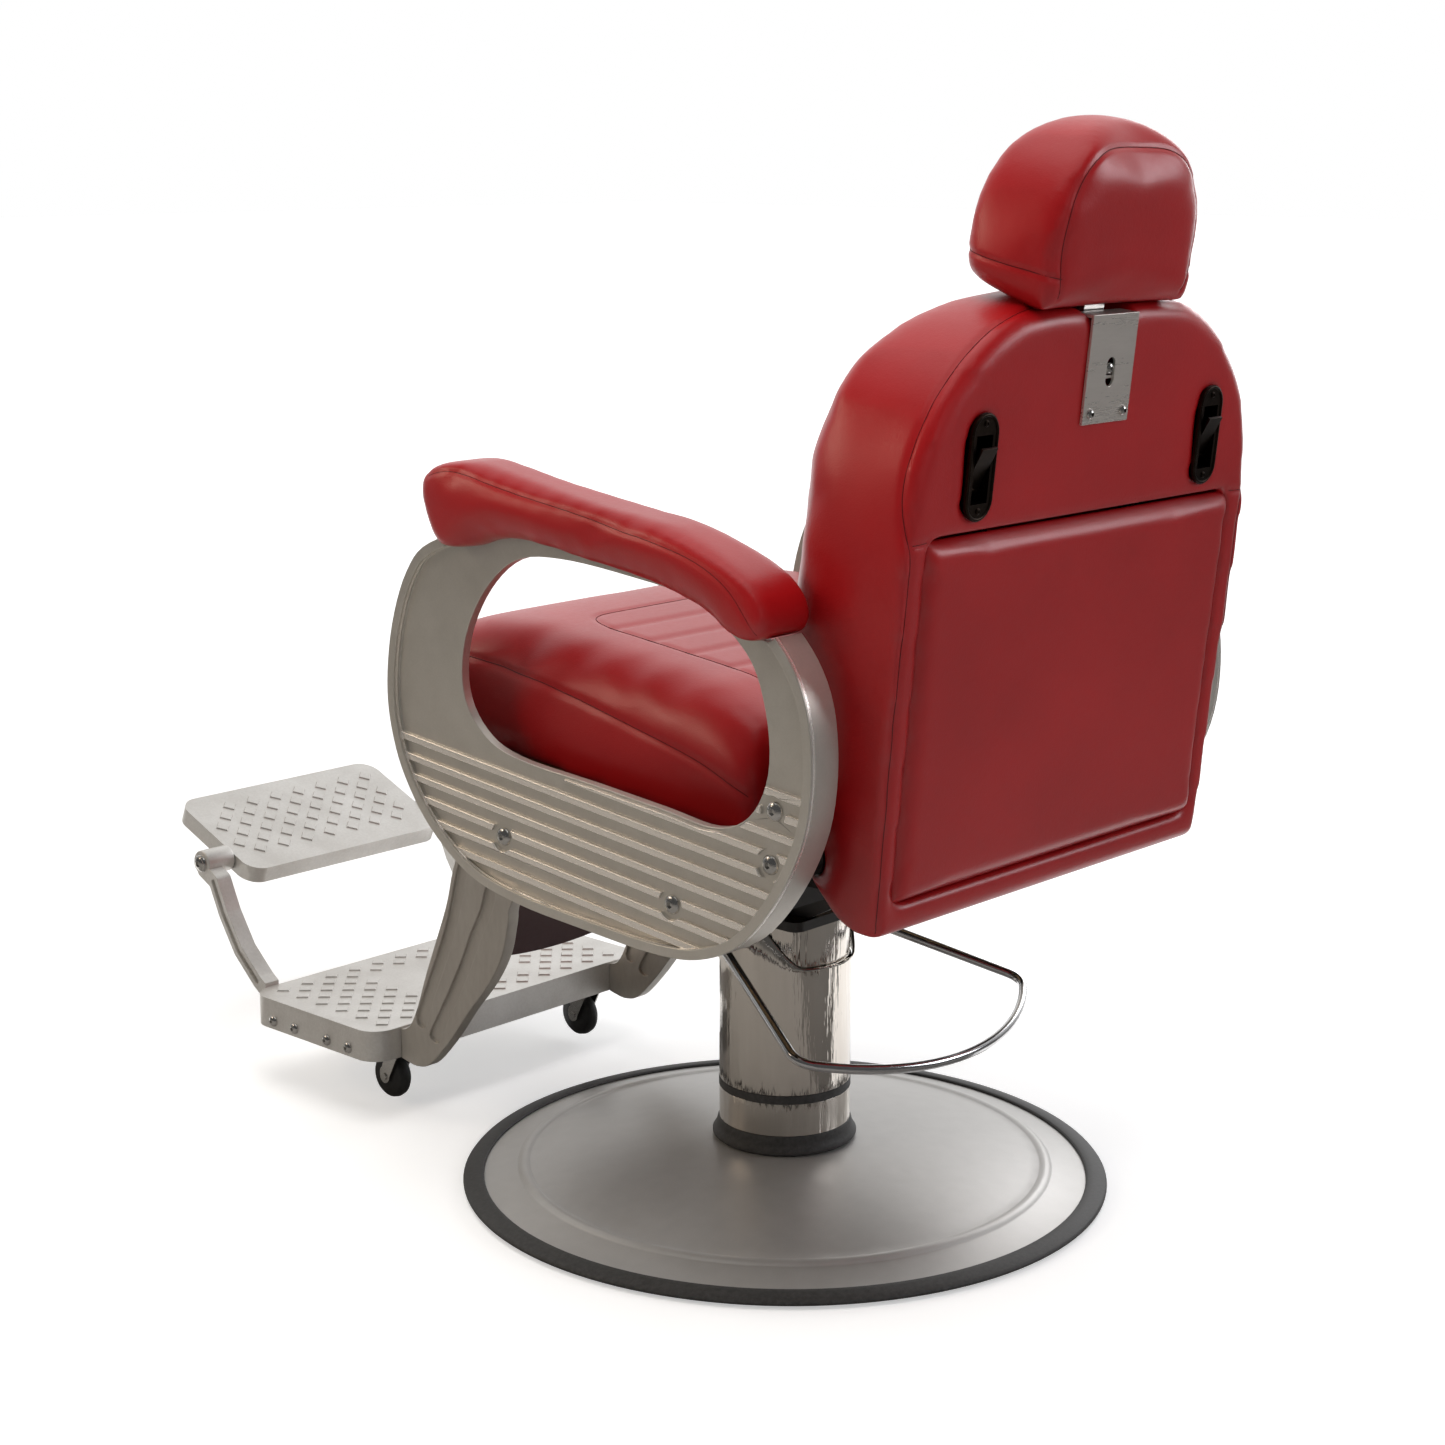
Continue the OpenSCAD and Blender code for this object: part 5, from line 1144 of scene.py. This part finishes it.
for side, mesh, sign in (("left", pad, 1), ("right", mirror_mesh(pad), -1)):
    piece = add_piece("arm_pad_" + side + "_padded", mesh, "swivel", red_leather, "red_leather",
                      "arm_pad_" + side)
    lines = [[Vector((sign * p[0], p[1], p[2])) for p in line]
             for line in sunk([outer, inner], 0.75)]
    thread_along("arm_seam_cords_" + side, "swivel", lines, 0.36, seam_shade_leather)
print("arm pads", len(pad.polygons), "faces each")

# %% [markdown]
# ## Calf pad
# The sitter's calves rest on a thin pad between the legs, on a moulded backing board. Its block
# already has the right outline, so it only gets the skin, the softening and the filling.
# %% Calf pad
calf = skin(welded("calf_pad", flat=0), 5.0)
soften(calf, 12)
fill(calf, 5)
calf = finer(calf)
calf_piece = add_piece("calf_pad_padded", calf, "legrest", red_leather, "red_leather", "calf_pad")
print("calf pad", len(calf.polygons), "faces")

# %% [markdown]
# ## Pump lever
# The lever is one chromed rod bent into a loop, so it is swept along its own line instead of
# being welded from straight bars: the two corners get the bender's radius.
# %% Pump lever
slope = math.radians(18.1)
bow_radius = (182 ** 2 + 70 ** 2) / (2 * 70)


def on_lever(x, reach):
    """A point of the lever's tilted plane, in metres."""
    return Vector((x * MM, -0.100 + reach * MM * math.cos(slope),
                   0.3066 - reach * MM * math.sin(slope)))


def lever_line():
    """The rod's middle line: a straight side, a bent corner, a shallow bow, and back."""
    side_way = (Vector((182, 291.5)) - Vector((46, 0))).normalized()
    start = Vector((46, 0)) - side_way * 4
    corner = Vector((182, 291.5))
    bend = 17
    bow = []
    for k in range(13):
        x = 182 * (1 - k / 12)
        bow.append(Vector((x, 291.5 + 70 - bow_radius + math.sqrt(bow_radius ** 2 - x * x))))
    before = corner - side_way * bend
    after_index = next(i for i, p in enumerate(bow) if (p - corner).length > bend)
    after = bow[after_index]
    turn = [before * (1 - t) ** 2 + corner * 2 * t * (1 - t) + after * t * t
            for t in [i / 8 for i in range(9)]]
    half = [start + (before - start) * (i / 6) for i in range(6)] + turn + bow[after_index + 1:]
    return [on_lever(p.x, p.y) for p in half] + [on_lever(-p.x, p.y) for p in reversed(half[:-1])]


def swept(line, radius, sides):
    """A round bar along a line, its ends closed."""
    verts, faces = [], []
    across = on_lever(0, 1) - on_lever(0, 0)
    plane_normal = Vector((1, 0, 0)).cross(across).normalized()
    for i, p in enumerate(line):
        tangent = (line[min(i + 1, len(line) - 1)] - line[max(i - 1, 0)]).normalized()
        u = plane_normal
        v = tangent.cross(u).normalized()
        for k in range(sides):
            a = 2 * math.pi * k / sides
            verts.append(p + (u * math.cos(a) + v * math.sin(a)) * radius * MM)
    for i in range(len(line) - 1):
        for k in range(sides):
            a, b = i * sides + k, i * sides + (k + 1) % sides
            faces.append((a, b, b + sides, a + sides))
    faces.append(tuple(range(sides)))
    faces.append(tuple(range(len(line) * sides - 1, (len(line) - 1) * sides - 1, -1)))
    return verts, faces


lever_mesh = bpy.data.meshes.new("pump_lever_loop")
verts, faces = swept(lever_line(), 5.0, 20)
shaft = bmesh.new()
bmesh.ops.create_cone(shaft, cap_ends=True, segments=40, radius1=8 * MM, radius2=8 * MM,
                      depth=104 * MM)
bmesh.ops.rotate(shaft, verts=shaft.verts, matrix=Matrix.Rotation(math.pi / 2, 3, "Y"))
bmesh.ops.translate(shaft, verts=shaft.verts, vec=on_lever(0, 0))
first = len(verts)
verts += [v.co.copy() for v in shaft.verts]
faces += [tuple(first + v.index for v in f.verts) for f in shaft.faces]
shaft.free()
lever_mesh.from_pydata(verts, [], faces)
clean = bmesh.new()
clean.from_mesh(lever_mesh)
bmesh.ops.recalc_face_normals(clean, faces=clean.faces)
clean.to_mesh(lever_mesh)
clean.free()
for polygon in lever_mesh.polygons:
    polygon.use_smooth = len(polygon.vertices) == 4
add_piece("pump_lever_rod", lever_mesh, "pump_lever", rod_chrome, "lever_chrome", "pump_lever")
print("lever rod with", len(lever_mesh.vertices), "points")

# %% [markdown]
# ## Screws
# Button head screws hold the side panels, the bracket and the footplate, and close the step's
# pin. Modelling one and copying it by hand would do for a few, but a node tree keeps head and
# socket in proportion at any size: it cuts a six sided socket into a low dome and sets a copy on
# every point. In the side panels these heads replace the model's screws. In the footplate and
# the bracket they cover them, and the latches keep the model's own.
# %% Geometry Nodes: button head screws
def on_points(tree, start, shape):
    """A turned copy of a shape on every point of the tree's mesh."""
    field = tree.nodes.new("GeometryNodeInstanceOnPoints")
    tree.links.new(start.outputs["Geometry"], field.inputs["Points"])
    tree.links.new(shape, field.inputs["Instance"])
    tree.links.new(start.outputs["Turn"], field.inputs["Rotation"])
    return field.outputs["Instances"]


def screw_tree():
    """A dome with a six sided socket, on every point."""
    tree, ids, start = new_tree("button_screws", {"Head": 0.008, "Height": 0.005}, turned=True)
    ball = node(tree, "GeometryNodeMeshUVSphere", Segments=28, Rings=16, Radius=1.0)
    size = tree.nodes.new("ShaderNodeCombineXYZ")
    for axis in ("X", "Y"):
        tree.links.new(start.outputs["Head"], size.inputs[axis])
    tree.links.new(start.outputs["Height"], size.inputs["Z"])
    dome = tree.nodes.new("GeometryNodeTransform")
    tree.links.new(ball.outputs["Mesh"], dome.inputs["Geometry"])
    tree.links.new(size.outputs["Vector"], dome.inputs["Scale"])
    socket = node(tree, "GeometryNodeMeshCylinder", Vertices=6)
    tree.links.new(times(tree, start.outputs["Head"], 0.36), socket.inputs["Radius"])
    tree.links.new(start.outputs["Height"], socket.inputs["Depth"])
    lift = tree.nodes.new("ShaderNodeCombineXYZ")
    tree.links.new(start.outputs["Height"], lift.inputs["Z"])
    raised = tree.nodes.new("GeometryNodeTransform")
    tree.links.new(socket.outputs["Mesh"], raised.inputs["Geometry"])
    tree.links.new(lift.outputs["Vector"], raised.inputs["Translation"])
    cut = tree.nodes.new("GeometryNodeMeshBoolean")
    cut.operation = "DIFFERENCE"
    tree.links.new(dome.outputs["Geometry"], cut.inputs["Mesh 1"])
    tree.links.new(raised.outputs["Geometry"], cut.inputs["Mesh 2"])
    end_tree(tree, start, on_points(tree, start, cut.outputs["Mesh"]))
    return tree, ids


screwing, screwing_ids = screw_tree()


def spots_mesh(name, spots):
    """A mesh of loose points, given in metres."""
    points = bpy.data.meshes.new(name + "_spots")
    points.from_pydata([Vector(s) for s in spots], [], [])
    return points


def screws(name, body, spots, turn, head, height):
    """One piece with a screw head on every spot; spots are in metres."""
    made = grow(spots_mesh(name, spots), screwing, screwing_ids, Head=head * MM,
                Height=height * MM, Turn=turn, Material=bolt_steel)
    return add_piece(name, made, body, bolt_steel, "screw_steel")


panel_spots = [(0.317, y * MM, deck + z * MM)
               for y, z in ((268, 192), (263, 142), (141, 81), (-89, 104.5))]
to_left, to_right = (0, math.pi / 2, 0), (0, -math.pi / 2, 0)
left_screws = screws("panel_screws_left", "swivel", panel_spots, to_left, head=9.4, height=5)
screws("panel_screws_right", "swivel", [(-x, y, z) for x, y, z in panel_spots], to_right,
       head=9.4, height=5)
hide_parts("panel_screws")
foot_spots = [(0.213, y, 0.0844) for y in (-0.473, -0.511, -0.570, -0.609)]
screws("foot_screws_left", "legrest", foot_spots, to_left, head=6.8, height=4.6)
screws("foot_screws_right", "legrest", [(-x, y, z) for x, y, z in foot_spots], to_right,
       head=6.8, height=4.6)
coat(bolt_steel, "footrest_screws")
pivot_y, pivot_z = -0.770, 0.2399
for side, sign in (("left", 1), ("right", -1)):
    screws("step_bolt_" + side, "legrest", [(sign * 0.190, pivot_y, pivot_z)],
           (0, sign * math.pi / 2, 0), head=11, height=6.2)
coat(bronze, "back_screws")
rearward = (-math.radians(96), 0, 0)
screws("bracket_screws", "backrest", [from_back(x, 95.8, 410) for x in (-25.5, 25.5)], rearward,
       head=5, height=4)
screws("bracket_bolt", "backrest", [from_back(0, 93, 450)], rearward, head=5.4, height=4)
print("screws set")

# %% [markdown]
# Each arm ends in a round eye that carries the step's pin. Its shape is a short cylinder, so the
# prism helper makes it from a ring of points, and a live Bevel modifier rounds its two rims.
# %% Eyes of the step's arms
eye_radius, eye_sides = 0.0155, 72
for side, sign in (("left", 1), ("right", -1)):
    ring = [(pivot_y + eye_radius * math.cos(math.tau * k / eye_sides),
             pivot_z + eye_radius * math.sin(math.tau * k / eye_sides)) for k in range(eye_sides)]
    eye_mesh = prism(ring, "x", sign * 0.1516, sign * 0.1902)
    for polygon in eye_mesh.polygons:
        polygon.use_smooth = len(polygon.vertices) == 4
    eye_piece = add_piece("arm_eye_" + side, eye_mesh, "legrest", foot_cast, "foot_aluminium")
    edge = eye_piece.modifiers.new("edge", "BEVEL")
    edge.width = 2.2 * MM
    edge.segments = 3
    edge.limit_method = "ANGLE"
print("2 arm eyes")

# %% [markdown]
# ## Treads
# The footplate and the step are cast with a pattern of raised squares, which stand on their
# corners in a staggered field, so that shoes don't slip. The field is laid out from the plate's
# size, with a bare place in the middle of the footplate, and a node tree raises a square on
# each point.
# %% Geometry Nodes: tread squares
def tread_tree():
    """A low four sided block with sloping sides, on every point."""
    tree, ids, start = new_tree("tread_squares", {"Square": 0.014, "Height": 0.0015}, turned=True)
    block = node(tree, "GeometryNodeMeshCone", Vertices=4)
    tree.links.new(times(tree, start.outputs["Square"], 0.62), block.inputs["Radius Top"])
    tree.links.new(times(tree, start.outputs["Square"], 0.7071), block.inputs["Radius Bottom"])
    tree.links.new(start.outputs["Height"], block.inputs["Depth"])
    end_tree(tree, start, on_points(tree, start, block.outputs["Mesh"]))
    return tree, ids


treading, treading_ids = tread_tree()
tread_pitch, square, square_height = 36.0, 14.5, 1.5


def tread(name, body, half_w, low_y, high_y, radius, first, place, turn, bare=None):
    """Squares in a staggered field inside a rounded rectangle, in the plate's own frame."""
    spots = []
    rows = round((high_y - low_y) / (tread_pitch / 2))
    for j in range(rows + 1):
        y = low_y + (high_y - low_y) * j / rows
        x = first + (tread_pitch / 2 if j % 2 else 0)
        while x <= half_w + 0.1:
            corner_x = max(0, abs(x) - (half_w - radius))
            corner_y = max(0, (low_y + radius) - y, y - (high_y - radius))
            inside = math.hypot(corner_x, corner_y) <= radius
            if inside and not (bare and abs(x) < bare[0] and abs(y - bare[1]) < bare[2]):
                spots.append(place @ Vector((x * MM, y * MM, 0)))
            x += tread_pitch
    made = grow(spots_mesh(name, spots), treading, treading_ids, Square=square * MM,
                Height=square_height * MM, Turn=turn, Material=foot_cast)
    add_piece(name, made, body, foot_cast, "foot_aluminium")
    print(name, len(spots), "squares")


foot_top = Matrix.Translation((0, -0.427, 0.1099))
tread("footplate_tread", "legrest", half_w=196, low_y=-204, high_y=-24, radius=10, first=-180,
      place=foot_top, turn=(0, 0, 0), bare=(80, -114, 56))
tilt = math.radians(22.4)
step_top = (Matrix.Translation((0, pivot_y, pivot_z)) @ Matrix.Rotation(-tilt, 4, "X")
            @ Matrix.Translation((0, 0, 0.0105)))
tread("step_tread", "step", half_w=134, low_y=-81.4, high_y=27, radius=8, first=-123,
      place=step_top, turn=(-tilt, 0, 0))
